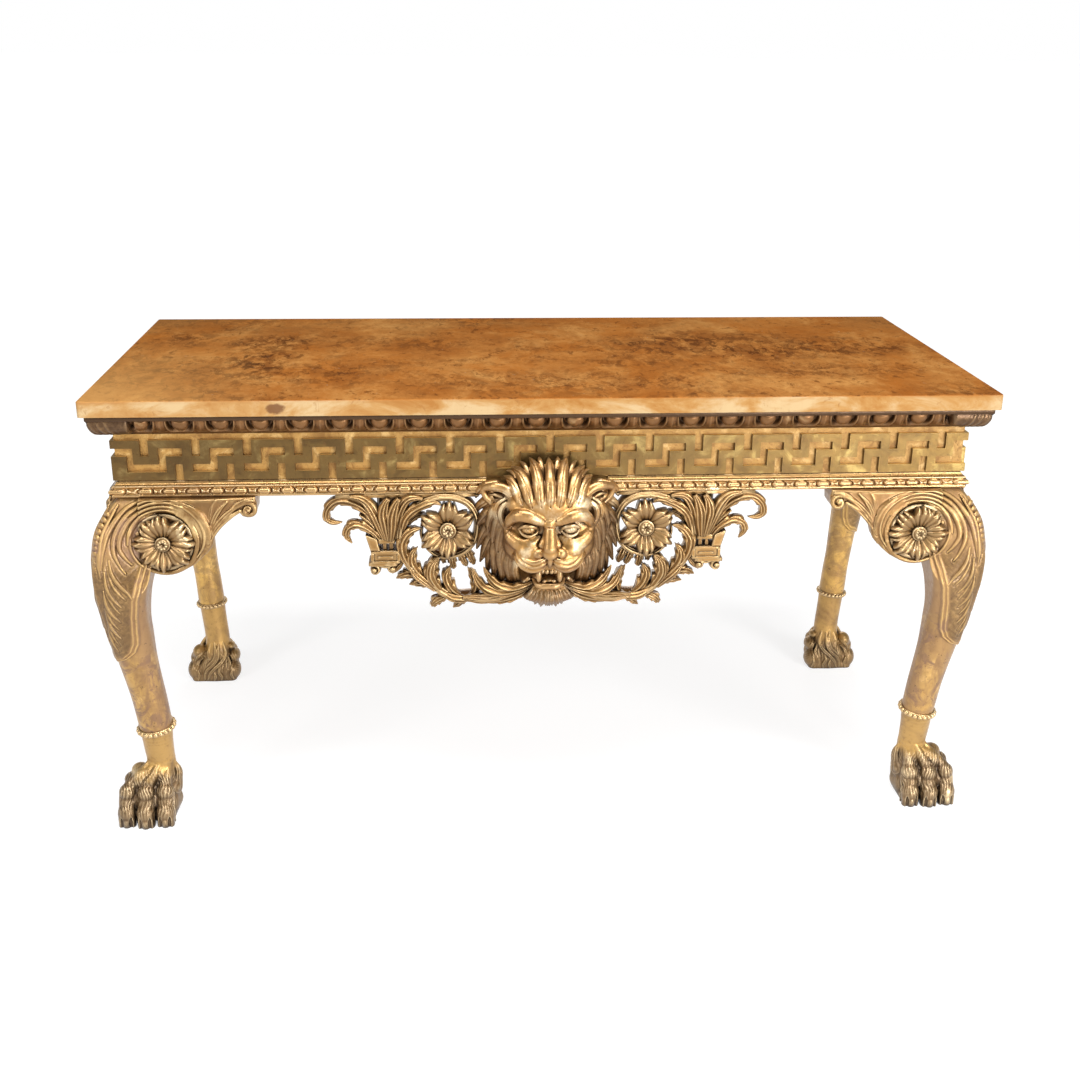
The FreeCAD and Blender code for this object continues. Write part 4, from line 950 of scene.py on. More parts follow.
def paw_field(top, toe_x, tip_f, seed, vox=1.2, fur=1.0):
    """Clawed paw, in its own frame: x outward, f forward, z up; the ankle stands near x = f = 0."""
    F = Field((-62.0, -62.0, -4.0), (98.0, 86.0, 196.0), vox)
    tx, tf, tr = top
    F.strand([(tx, tf, 198), (tx * 0.55 + 2, tf * 0.6, 158), (3, 0, 118), (4, -2, 88)], [tr, tr - 2.6, tr - 4.4, tr - 2.5], k=4, n=16)
    F.ball((12, 14, 94), (27, 20, 22), k=8)
    F.ball((34, 22, 84), (24, 20, 24), k=8)
    # instep and sole
    F.ball((8, 2, 58), (36, 34, 40), k=10)
    F.ball((toe_x - 2, tip_f - 46, 40), (48, 22, 34), k=8)
    F.ball((toe_x - 10, -4, 24), (50, 36, 30), k=8)
    F.slab((toe_x - 50, -34, -8), (toe_x + 42, tip_f - 34, 16), round_=10, k=6)
    cols = [(-37.0, -4.0, -12.0, 12.0), (0.0, 0.0, 4.0, 24.0), (37.0, -6.0, 24.0, 14.0)]
    for dx, df, ax, af in cols:
        x, f = toe_x + dx, tip_f + df
        # tendon from the ankle, knuckle, blunt toe
        F.strand([(ax, af, 116), (ax * 0.6 + x * 0.4, af + 8, 96), (x * 0.9, f - 42, 74)], [4.5, 9, 13], k=2.2)
        F.ball((x * 0.97, f - 34, 64), (16.8, 18, 17), k=2.0)
        F.strand([(x, f - 36, 54), (x, f - 29, 42), (x, f - 22, 20)], [16.0, 16.5, 16], k=2.5)
        F.ball((x, f - 20, 25), (18.2, 19.0, 22), k=2.5)
        F.slab((x - 16.5, f - 36, -8), (x + 16.5, f - 3.5, 24), round_=10, k=4)
        # blunt claw between two slits
        F.ball((x, f - 8, 11), (7.0, 9.0, 13), k=1.5)
        for s in (-1, 1):
            F.strand([(x + s * 8.6, f - 6.5, 27), (x + s * 9.0, f - 4.0, 14), (x + s * 8.6, f - 4.0, 1)], [1.0, 3.2, 3.2], k=0.5, mode="cut")
    # outer column, a double lump above its toe
    x3 = toe_x + 37
    F.ball((x3 - 22, 6, 97), (16, 18, 12), k=3)
    F.ball((x3 - 8, 12, 79), (16, 19, 14), k=3)
    F.ball((x3 + 1, 0, 34), (16, 24, 30), k=5)
    # inner flank toe, set back
    xi = toe_x - 60
    F.strand([(-22, 4, 110), (-28, 2, 90), (xi + 9, 0, 64)], [4, 8, 12], k=4)
    F.ball((xi + 10, 2, 56), (12, 20, 19), k=3)
    F.ball((xi + 15, 10, 26), (12, 20, 24), k=4)
    # heel
    F.ball((4, -26, 40), (28, 18, 34), k=8)
    F.ball((4, -24, 84), (20, 12, 16), k=6)
    # deep clefts between the columns, running up between the tendons
    for xb, zb, xm, xt, fo in ((-6, 112, toe_x - 22, toe_x - 18.5, 0), (15, 108, toe_x + 17, toe_x + 18.5, 0), (-24, 104, -24, toe_x - 52, -18),
                               (36, 88, toe_x + 38, toe_x + 54, -40)):
        F.strand([(xb, 33 + fo * 0.4, zb), (xb * 0.4 + xm * 0.6, 42 + fo * 0.7, 86), (xm, tip_f - 24 + fo, 62), (xt, tip_f - 11 + fo, 36), (xt, tip_f - 8 + fo, 2)],
                 [0.9, 2.2, 3.4, 3.8, 3.8], k=1.6, mode="cut", n=18)
    comb_fur(F, vox, seed, fur, 112.0)
    F.clip_min(2, 0.0)
    F.clip_max(2, 190.0)
    return F


def rear_paw_field(top, tip_f, vox=1.2, fur=0.8):
    """Paw whose toes point to the wall (f forward is to the wall): its heel, hung with long locks, faces the room."""
    F = Field((-66.0, -54.0, -4.0), (86.0, 54.0, 196.0), vox)
    tx, tf, tr = top
    F.strand([(tx, tf, 198), (tx * 0.6, tf * 0.6, 155), (1, 0, 112), (0, -2, 84), (2, -6, 62)], [tr, tr - 1.2, tr - 1.6, tr - 1.2, tr + 1], k=4, n=20)
    F.ball((6, 0, 40), (42, 36, 40), k=10)
    F.slab((-42, -38, -8), (62, 34, 18), round_=12, k=8)
    F.ball((6, -24, 26), (40, 19, 32), k=8)
    # mounds at the sides
    F.ball((42, -12, 67), (17, 22, 18), k=3)
    F.ball((50, -4, 50), (16, 24, 18), k=4)
    F.ball((53, -14, 23), (20, 26, 25), k=3)
    F.ball((-31, -4, 80), (9, 14, 9), k=2.5)
    F.ball((-36, -4, 55), (14, 22, 17), k=3)
    F.ball((-34, -16, 23), (18, 24, 24), k=3)
    # toes to the wall
    for x in (-24.0, 8.0, 40.0):
        F.strand([(x * 0.6 + 3, 12, 96), (x * 0.85, 20, 78), (x, 25, 60)], [4, 9, 13], k=3)
        F.ball((x, tip_f - 19, 56), (15.5, 16, 15), k=2.5)
        F.ball((x, tip_f - 18, 22), (16.5, 16.5, 22), k=2.5)
        F.ball((x, tip_f - 8, 11), (6.5, 8, 12), k=1.5)
        for s in (-1, 1):
            F.strand([(x + s * 7.8, tip_f - 6, 25), (x + s * 8.0, tip_f - 2, 14), (x + s * 7.4, tip_f - 2, 2)], [0.8, 2.0, 1.8], k=0.6, mode="cut")
    for x in (-8.0, 24.0):
        F.strand([(x * 0.5, 24, 92), (x, tip_f - 10, 60), (x, tip_f - 8, 30), (x, tip_f - 6, 2)], [1, 3.6, 4, 4], k=1.6, mode="cut")
    # valleys between the heel and its mounds
    F.strand([(26, -26, 78), (33, -34, 56), (37, -40, 30), (36, -42, 4)], [1.2, 3.4, 3.6, 3.4], k=2, mode="cut")
    F.strand([(-19, -24, 84), (-21, -32, 60), (-17, -40, 32), (-14, -42, 4)], [1.2, 3.2, 3.4, 3.2], k=2, mode="cut")
    comb_fur(F, vox, 5.0, fur, 78.0, 6.6)
    base = F.f.copy()

    def skin(x, z, out):
        i = min(max(int(round((x - F.lo[0]) / vox)), 0), F.f.shape[0] - 1)
        k = min(max(int(round((z - F.lo[2]) / vox)), 0), F.f.shape[2] - 1)
        j = np.where(base[i, :, k] < 0)[0]
        return (x, (F.ax[1][j[0]] if len(j) else -20.0) + out, z)

    locks = (
        ([(-15, 96), (-19, 66), (-8, 48), (6, 36), (18, 21), (24, 5)], [1.5, 5.0, 5.4, 5.0, 4.2, 2.0]),
        ([(4, 98), (2, 72), (8, 56), (20, 45), (25, 38)], [1.5, 4.4, 4.8, 3.8, 1.5]),
        ([(-5, 92), (-2, 62), (10, 44), (23, 33), (30, 18), (31, 6)], [1.5, 4.4, 4.6, 4.2, 3.6, 1.6]),
        ([(14, 92), (20, 70), (18, 56)], [1.5, 4.2, 1.5]),
        ([(-9, 44), (-4, 28), (-9, 14), (-8, 4)], [1.5, 4.2, 4.2, 2.0]),
        ([(8, 28), (5, 16), (8, 4)], [1.5, 4.0, 2.4]),
        ([(-23, 62), (-28, 44), (-24, 30)], [1.5, 4.0, 1.5]),
        ([(34, 58), (45, 46), (50, 30)], [1.5, 4.0, 1.5]),
        ([(30, 74), (42, 66), (52, 50)], [1.5, 3.8, 1.5]),
        ([(46, 30), (44, 16), (47, 3)], [1.5, 3.6, 2.0]),
        ([(-36, 34), (-32, 20), (-36, 5)], [1.5, 3.6, 2.0]),
    )
    for pts, r in locks:
        q = [skin(x, z, -0.8) for x, z in pts]
        F.strand(q, r, k=0.9, n=18)
        c = catmull(np.array(q), 12)
        c[:, 1] -= lerp_profile(r, 12) * 0.95
        F.strand(c[2:-1], [0.5, 1.1, 0.6], k=0.6, n=12, mode="cut")
    F.clip_max(1, tip_f)
    F.clip_min(2, 0.0)
    F.clip_max(2, 190.0)
    return F


# ---------------------------------------------------------------- lion mask
def lion_field(vox=1.3):
    F = Field((0.0, -40.0, 444.0), (140.0, 130.0, 748.0), vox)

    def lock(pts, radii, k=1.6, groove=1.3, n=14, two=True):
        """A lock of hair: a swelling strand with combed grooves along its face."""
        F.strand(pts, radii, k=k, n=n)
        if groove <= 0:
            return
        p = catmull(pts, n)
        r = lerp_profile(radii, n)
        t = np.gradient(p, axis=0)
        t /= np.linalg.norm(t, axis=1, keepdims=True)
        side = np.cross(t, [0, 1, 0])
        side /= np.maximum(np.linalg.norm(side, axis=1, keepdims=True), 1e-6)
        front = np.cross(side, t)
        front *= np.sign(front[:, 1:2] + 1e-9)
        for o in ((-0.38, 0.38) if two else (0.0,)):
            q = p + side * (r * o)[:, None] + front * (r * (0.97 - 0.12 * abs(o)))[:, None]
            F.strand(q[1:-1:2], np.clip(r[1:-1:2] * 0.2, 0.5, groove), k=0.9, mode="cut", n=10)

    # head masses
    F.ball((0, 2, 612), (112, 34, 112), k=4)
    F.ball((0, 28, 622), (82, 52, 92), k=10)
    F.ball((0, 46, 664), (58, 38, 36), k=14)
    F.ball((0, 72, 668), (54, 32, 36), k=10)
    F.ball((44, 58, 664), (34, 32, 24), k=10)
    F.ball((50, 46, 592), (36, 34, 44), k=12)
    F.ball((0, 60, 566), (42, 38, 34), k=10)
    F.ball((0, 44, 506), (36, 32, 30), k=8)
    F.slab((0, -36, 486), (98, 16, 667), round_=6, k=4)

    # mane behind: broad locks falling at the sides, the outermost first
    for pts, r in (
        ([(96, 20, 690), (114, 18, 684), (126, 12, 672), (131, 8, 660)], [7, 9, 7, 2]),
        ([(98, 24, 668), (114, 20, 656), (126, 12, 644), (132, 8, 628)], [8, 9, 7, 2]),
        ([(96, 28, 650), (112, 22, 632), (124, 14, 614), (131, 8, 592)], [8, 10, 8, 2]),
        ([(96, 28, 628), (112, 22, 606), (122, 14, 584), (130, 8, 560)], [8, 10, 8, 2]),
        ([(94, 28, 606), (108, 22, 580), (116, 14, 556), (124, 8, 534)], [8, 10, 8, 2]),
        ([(90, 26, 590), (102, 22, 560), (108, 16, 532), (112, 10, 510)], [8, 10, 8, 2]),
    ):
        lock(pts, [1.12 * v for v in r], k=2.0, groove=1.5, two=False)
    for pts, r in (
        ([(88, 40, 600), (98, 36, 570), (97, 30, 534), (101, 22, 500)], [7, 9, 8, 2.5]),
        ([(78, 44, 590), (87, 42, 556), (83, 37, 522), (86, 26, 490)], [7, 9.5, 8, 2.5]),
        ([(66, 48, 578), (74, 47, 546), (69, 41, 514), (70, 28, 485)], [6, 9.5, 8, 2.5]),
        ([(56, 50, 560), (62, 49, 534), (56, 43, 508), (54, 30, 482)], [6, 8.5, 7, 2.5]),
    ):
        lock(pts, [1.08 * v for v in r], k=1.4, groove=1.2, two=False)
    for pts, r in (
        ([(84, 46, 664), (98, 42, 646), (106, 36, 622), (110, 28, 596)], [6, 9, 8, 2.5]),
        ([(82, 52, 648), (93, 48, 626), (98, 42, 600), (101, 34, 572)], [6, 8.5, 8, 2.5]),
        ([(78, 54, 630), (87, 50, 606), (91, 46, 580), (92, 38, 554)], [5, 7.5, 7, 2.5]),
    ):
        lock(pts, [1.12 * v for v in r], k=2.0, groove=1.5, two=False)

    # ears: a thick rolled rim drooping round a hollow, a second fold inside it
    F.ball((90, 18, 670), (24, 20, 24), k=5)
    F.strand([(60, 58, 650), (65, 58, 675), (80, 54, 690), (98, 46, 692), (117, 32, 684), (113, 30, 667), (98, 36, 652)],
             [4, 7, 8.5, 8.5, 6.0, 6.0, 3.5], k=2.0, n=26)
    F.ball((89, 50, 671), (17, 22, 10.5), k=3, mode="cut")
    F.strand([(74, 48, 658), (84, 45, 671), (96, 40, 675), (106, 34, 673)], [2.4, 4.0, 3.6, 1.4], k=1.2, n=14)
    F.strand([(66, 65, 669), (80, 62, 685), (98, 54, 687), (112, 42, 680)], [0.9, 1.5, 1.5, 0.9], k=1.0, mode="cut", n=14)

    # flame locks swept up from the forehead: broad, curving apart, with deep clefts between them
    locks = (
        ([(56, 66, 648), (64, 62, 662), (72, 48, 676), (80, 30, 682)], [4, 7, 7, 2]),
        ([(43, 78, 652), (51, 80, 674), (58, 64, 690), (68, 40, 702), (80, 16, 702)], [4, 9, 10, 7.5, 1.6]),
        ([(28, 86, 656), (36, 91, 682), (43, 73, 704), (53, 43, 718), (66, 15, 720)], [4, 9.5, 10.5, 8, 1.6]),
        ([(14, 90, 658), (18, 97, 686), (21, 81, 711), (26, 46, 729), (33, 15, 736)], [4, 9, 10, 7.8, 1.6]),
        ([(0, 91, 658), (0, 99, 688), (-1, 83, 714), (-1, 48, 732), (-2, 15, 738)], [4, 8.5, 9.5, 7.5, 1.6]),
    )
    for pts, r in locks:
        lock(pts, [1.12 * v for v in r], k=1.8, groove=1.0, n=20, two=False)
    for (p0, _), (p1, _) in zip(locks[1:], locks[2:]):
        m = (np.array(p0[1:5]) + np.array(p1[1:5])) / 2
        m = np.concatenate([[(np.array(p0[0]) + np.array(p1[0])) / 2 + (0, 18, 5)], m])
        m[:, 1] += (0.0, 6.0, 5.0, 3.0, -4.0)
        F.strand(m, [1.3, 2.0, 2.6, 3.2, 2.8], k=1.8, mode="cut", n=20)
    for pts, r in (
        ([(10, 60, 712), (12, 50, 724), (16, 34, 736), (17, 18, 738)], [1.5, 4.6, 4.6, 1.3]),
        ([(32, 60, 704), (38, 46, 718), (44, 32, 728), (51, 17, 730)], [1.5, 4.6, 4.6, 1.3]),
        ([(50, 52, 692), (58, 40, 706), (66, 28, 714), (75, 17, 713)], [1.5, 4.2, 4.2, 1.3]),
    ):
        F.strand(pts, r, k=1.0)

    # curl beside the eye
    lock([(68, 62, 668), (80, 60, 662), (87, 56, 646), (84, 58, 628), (76, 62, 614)], [3, 5.5, 6.5, 5, 2], groove=1.2)
    lock([(80, 56, 672), (92, 50, 660), (96, 48, 640), (91, 50, 618)], [3, 5, 5.5, 2], groove=1.0)

    F.ball((75, 44, 653), (11, 13, 13), k=4)
    # eye sockets, then brows, lids and eyes
    F.ball((37, 100, 625), (20, 15, 11.5), k=8, mode="cut")
    F.ball((16, 100, 628), (7, 13, 11), k=5, mode="cut")
    F.strand([(9, 95, 638), (21, 100, 645), (38, 100, 652.5), (55, 92, 652.5), (69, 79, 642), (77, 64, 622)],
             [6.5, 9.5, 11.5, 11.5, 9.5, 4], k=6, n=22)
    F.ball((37, 79, 623.5), (14.0, 13, 10.8), k=1.5)
    F.strand([(19, 86, 621.5), (27, 92.5, 630), (37, 95.5, 633.5), (47, 91.5, 631.5), (56, 81, 623)],
             [2.0, 3.6, 4.2, 3.6, 2.0], k=1.2, n=18)
    F.strand([(20, 85, 620.5), (28, 88.5, 614.5), (38, 90.5, 611.8), (48, 87.5, 614.5), (55, 80, 622)],
             [1.8, 2.6, 2.9, 2.6, 1.8], k=1.2, n=18)
    F.strand([(22, 88, 612), (32, 90, 605.5), (44, 88, 604.5), (55, 81, 609)], [0.8, 1.3, 1.3, 0.8], k=2.0, mode="cut", n=14)
    a = np.linspace(0, 2 * np.pi, 17)
    F.strand([(36.2 + 5.4 * np.cos(t), 91.2 - 0.6 * (np.cos(t) > 0.2), 623.0 + 5.2 * np.sin(t)) for t in a],
             [0.7, 0.7], k=0.5, mode="cut", n=34)
    F.ball((36.2, 92.2, 623.2), 1.7, k=0.6, mode="cut")

    # frown roll, bridge and nose: a narrow ridge, then a broad tip between full wings
    F.ball((0, 94, 641), (11, 11, 8), k=3.5)
    F.strand([(0, 88, 646), (0, 99, 629), (0, 106, 610), (0, 111, 595)], [8.0, 9, 10.5, 12.0], k=4)
    F.strand([(7, 90, 632), (9, 97, 614), (14, 101, 599)], [3, 4.5, 6.5], k=4)
    F.strand([(7, 103, 651), (12, 100, 640)], [1.5, 1.5], k=1.5, mode="cut", n=6)
    F.strand([(0, 106, 633), (10, 102, 633)], [1.5, 1.3], k=1.5, mode="cut", n=4)
    F.ball((0, 106, 586), (16, 12, 10.5), k=4)
    F.ball((0, 112, 583.5), (12.5, 9, 9), k=4)
    F.ball((20.5, 98, 583), (11.5, 13, 9.0), k=4.0)
    F.ball((20, 103, 579.5), (9, 8, 6.0), k=3.0)
    F.strand([(31, 92, 594), (34, 94, 584), (30, 99, 575)], [1.2, 1.8, 1.2], k=3.0, mode="cut", n=8)
    F.ball((12, 112, 575.5), (7.2, 8.0, 3.6), k=1.0, mode="cut")
    F.strand([(0, 113, 578), (0, 110, 568), (0, 103, 557)], [5, 4.6, 3], k=1.5)

    # cheeks: full crescents swept from the nose under the eyes to the temples, and the pads of the muzzle
    F.strand([(19, 85, 607), (32, 86, 598), (50, 81, 594), (66, 70, 601), (78, 54, 617)], [6, 11.5, 14, 12.5, 6], k=5, n=18)
    F.ball((37, 81, 584), (24, 22, 19), k=3.5)
    F.ball((27, 89, 570), (22, 17, 14), k=5)
    F.ball((46, 77, 570), (20, 18, 14), k=5)

    # moustache: three thick combed strands each side, turned up at the ends
    for dz, dd, s in ((7.0, 0, 0.97), (0, 0, 1.02), (-7.5, -3, 1.05)):
        F.strand([(4, 104 + dd, 572 + dz * 0.7), (15 * s, 109 + dd, 564 + dz), (31 * s, 107 + dd, 559.5 + dz), (47 * s, 97 + dd, 563 + dz),
                  (56 * s, 88 + dd, 572 + dz * 0.9), (59 * s, 83 + dd, 586 + dz * 0.6)], [3.0, 5.4, 5.8, 5.4, 4.2, 1.6], k=0.6, n=22)
    for dz in (3.6, -3.8):
        F.strand([(9, 113.5, 569.5 + dz), (18, 114.6, 563.3 + dz), (31, 112.5, 559.5 + dz), (46, 103.0, 562.5 + dz), (54, 95, 570 + dz)], [0.8, 1.3, 1.3, 0.8], k=0.6, mode="cut", n=18)

    # open mouth, teeth, lower lip
    F.ball((0, 94, 532), (23.5, 27, 14.5), k=2.5, mode="cut")
    F.ball((0, 72, 522), (15, 14, 7), k=2)
    F.ball((19, 89, 535), (5.2, 6.0, 13), k=0.8)
    F.ball((4.3, 90, 543.5), (4.2, 4.5, 5.5), k=0.6)
    F.ball((11.8, 88, 543.5), (3.6, 4.5, 5.0), k=0.6)
    F.ball((9, 84, 521), (4.5, 4.0, 5.0), k=0.8)
    F.strand([(0, 93, 515), (12, 92, 515), (22, 84, 516.5), (28, 70, 521)], [6.0, 6.2, 5.0, 3.0], k=1.5)
    F.strand([(0, 93, 506), (14, 91, 506.5), (26, 80, 509)], [1.6, 1.6, 1.0], k=1.5, mode="cut", n=10)

    # beard: a full tuft under the lip, its locks turning out, and pointed tufts at the corners
    F.ball((0, 68, 494), (38, 24, 19), k=5)
    for x0, x1, x2, z2, d2 in ((0, 0, 2, 468, 70), (7, 10, 14, 466, 68), (14, 20, 25, 469, 64), (20, 29, 35, 474, 58), (26, 37, 45, 483, 50)):
        lock([(x0, 86 - 0.25 * x0, 508), (x1, 94 - 0.45 * x0, 493), (x2, d2, z2)], [4, 7.6, 1.6], groove=1.4, n=12, two=False)
    for x0, x2, z2 in ((4, 6, 474), (11, 18, 475), (18, 29, 480)):
        lock([(x0, 92 - 0.3 * x0, 507), (x0 * 1.2, 99 - 0.5 * x0, 494), (x2, 86 - x0 * 0.4, z2)], [3, 5.6, 1.2], groove=1.1, n=12, two=False)
    lock([(36, 60, 518), (48, 54, 500), (57, 42, 481)], [5, 7.5, 2], groove=1.1, n=12)

    # the back lies on the frieze above and on the board behind it below
    z = F.ax[2][None, None, :]
    d = F.ax[1][None, :, None]
    lim = np.where(z > 667.5, 7.4, -36.0)
    F.f = np.maximum(F.f, (lim - d).astype(np.float32))
    x = F.ax[0][:, None, None]
    F.f = np.where((z > 666) & (z < 697.5) & (d < 15) & (x > 111), np.maximum(F.f, 0.8 + 0 * d), F.f).astype(np.float32)
    return F


def lion_tone(V):
    """Darker brown on the beard and on the mane at the sides, from 0 to 1."""
    x, d, z = np.abs(V[:, 0]), V[:, 1], V[:, 2]
    beard = np.clip((508 - z) / 10.0, 0, 1)
    mane = np.clip((x - 48 - 0.16 * (z - 500)) / 12.0, 0, 1) * np.clip((660 - z) / 30.0, 0, 1) * np.clip((70 - d) / 14.0, 0, 1)
    return np.maximum(beard, mane)


def lion_mesh(vox=1.3):
    """The mask as (x, forward, z) vertices, its deepest relief eased back along the view."""
    F = lion_field(vox)
    F.mirror_x()
    V, f = F.mesh()
    over = np.maximum(V[:, 1] - 40.0, 0.0) * 0.22
    V[:, 1] -= over
    V[:, 2] -= 0.37 * over
    return V, f


# ---------------------------------------------------------------- placing the carved pieces
SHIFT_Y = 25.5
HALF = 772.5
FRONT_Y = -315.0
BACK_Y = 347.0


def volume6(V, F):
    """Six times the signed volume, to tell which way the faces look."""
    total = 0.0
    for f in F:
        a = V[f[:, 0]]
        for i in range(1, f.shape[1] - 1):
            b, c = V[f[:, i]], V[f[:, i + 1]]
            total += float(np.einsum("ij,ij->i", a, np.cross(b, c)).sum())
    return total


def put(name, V, F, node, mat, tone=None):
    """Mesh object in the row frame from millimetre points, riding with the table."""
    name = name.replace(" ", "_")
    V = np.asarray(V, float)
    c = V.mean(0)
    if volume6(V - c, F) < 0:
        F = [f[:, ::-1] for f in F]
    me = bpy.data.meshes.new(name)
    P = (V + np.array([0.0, SHIFT_Y, 0.0])) / 1000.0
    me.vertices.add(len(P))
    me.vertices.foreach_set("co", P.astype(np.float32).ravel())
    loops = np.concatenate([f.ravel() for f in F]).astype(np.int32)
    sizes = np.concatenate([np.full(len(f), f.shape[1], np.int32) for f in F])
    start = np.concatenate([[0], np.cumsum(sizes)[:-1]]).astype(np.int32)
    me.loops.add(len(loops))
    me.loops.foreach_set("vertex_index", loops)
    me.polygons.add(len(sizes))
    me.polygons.foreach_set("loop_start", start)
    me.update(calc_edges=True)
    me.validate()
    me.polygons.foreach_set("use_smooth", np.ones(len(me.polygons), bool))
    me.materials.append(mat)
    if tone is not None:
        me.attributes.new("tone", "FLOAT", "POINT").data.foreach_set("value", np.asarray(tone, np.float32))
    ob = bpy.data.objects.new(name, me)
    bpy.context.scene.collection.objects.link(ob)
    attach(ob, "frame")
    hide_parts(*([node] if isinstance(node, str) else node))
    return ob


def pair(name, V, F, node, mat, tone=None):
    """Right-hand piece and its mirror image."""
    W = V * np.array([-1.0, 1.0, 1.0])
    a = put(name + " right", V, F, node + "_right", mat, tone)
    b = put(name + " left", W, F, node + "_left", mat, tone)
    return a, b


# ---------------------------------------------------------------- finishes
def new_mat(name):
    m = bpy.data.materials.new(name)
    m.use_nodes = True
    nt = m.node_tree
    for n in list(nt.nodes):
        nt.nodes.remove(n)
    out = nt.nodes.new("ShaderNodeOutputMaterial")
    bs = nt.nodes.new("ShaderNodeBsdfPrincipled")
    nt.links.new(bs.outputs[0], out.inputs[0])
    return m, nt, bs


class Net:
    """Short hand for wiring nodes."""

    def __init__(self, nt):
        self.nt = nt
        tc = nt.nodes.new("ShaderNodeTexCoord")
        self.co = tc.outputs["Object"]

    def link(self, a, b):
        self.nt.links.new(a, b)

    def noise(self, scale, detail=4.0, rough=0.55, distort=0.0, vec=None):
        n = self.nt.nodes.new("ShaderNodeTexNoise")
        n.inputs["Scale"].default_value = scale
        n.inputs["Detail"].default_value = detail
        n.inputs["Roughness"].default_value = rough
        n.inputs["Distortion"].default_value = distort
        self.link(vec or self.co, n.inputs["Vector"])
        return n.outputs[0]

    def voronoi(self, scale, feature="F1", vec=None):
        n = self.nt.nodes.new("ShaderNodeTexVoronoi")
        n.feature = feature
        n.inputs["Scale"].default_value = scale
        self.link(vec or self.co, n.inputs["Vector"])
        return n.outputs["Distance"]

    def ramp(self, fac, stops, interp="LINEAR"):
        n = self.nt.nodes.new("ShaderNodeValToRGB")
        n.color_ramp.interpolation = interp
        el = n.color_ramp.elements
        while len(el) < len(stops):
            el.new(0.5)
        for e, (p, c) in zip(el, stops):
            e.position = p
            e.color = (c[0], c[1], c[2], 1.0) if not np.isscalar(c) else (c, c, c, 1.0)
        self.link(fac, n.inputs[0])
        return n.outputs[0]

    def span(self, val, a, b, lo=0.0, hi=1.0):
        n = self.nt.nodes.new("ShaderNodeMapRange")
        for i, v in enumerate((a, b, lo, hi)):
            n.inputs[i + 1].default_value = v
        self.link(val, n.inputs[0])
        return n.outputs[0]

    def math(self, op, a, b=None):
        n = self.nt.nodes.new("ShaderNodeMath")
        n.operation = op
        for i, v in enumerate((a, b)):
            if v is None:
                continue
            if isinstance(v, (int, float)):
                n.inputs[i].default_value = v
            else:
                self.link(v, n.inputs[i])
        return n.outputs[0]

    def mix(self, fac, a, b, mode="MIX"):
        n = self.nt.nodes.new("ShaderNodeMix")
        n.data_type = "RGBA"
        n.blend_type = mode
        for s, v in ((0, fac), (6, a), (7, b)):
            if isinstance(v, (int, float)):
                n.inputs[s].default_value = v
            elif isinstance(v, tuple):
                n.inputs[s].default_value = (v[0], v[1], v[2], 1.0)
            else:
                self.link(v, n.inputs[s])
        return n.outputs[2]

    def ao(self, dist, samples=6):
        n = self.nt.nodes.new("ShaderNodeAmbientOcclusion")
        n.samples = samples
        n.inputs["Distance"].default_value = dist
        return n.outputs["AO"]

    def edge(self):
        return self.nt.nodes.new("ShaderNodeNewGeometry").outputs["Pointiness"]

    def normal(self):
        return self.nt.nodes.new("ShaderNodeNewGeometry").outputs["Normal"]

    def axis(self, vec, i):
        n = self.nt.nodes.new("ShaderNodeSeparateXYZ")
        self.link(vec, n.inputs[0])
        return n.outputs[i]

    def stretch(self, sx, sy, sz):
        n = self.nt.nodes.new("ShaderNodeMapping")
        n.inputs["Scale"].default_value = (sx, sy, sz)
        self.link(self.co, n.inputs["Vector"])
        return n.outputs[0]

    def bump(self, height, strength, distance, bs):
        n = self.nt.nodes.new("ShaderNodeBump")
        n.inputs["Strength"].default_value = strength
        n.inputs["Distance"].default_value = distance
        self.link(height, n.inputs["Height"])
        self.link(n.outputs[0], bs.inputs["Normal"])


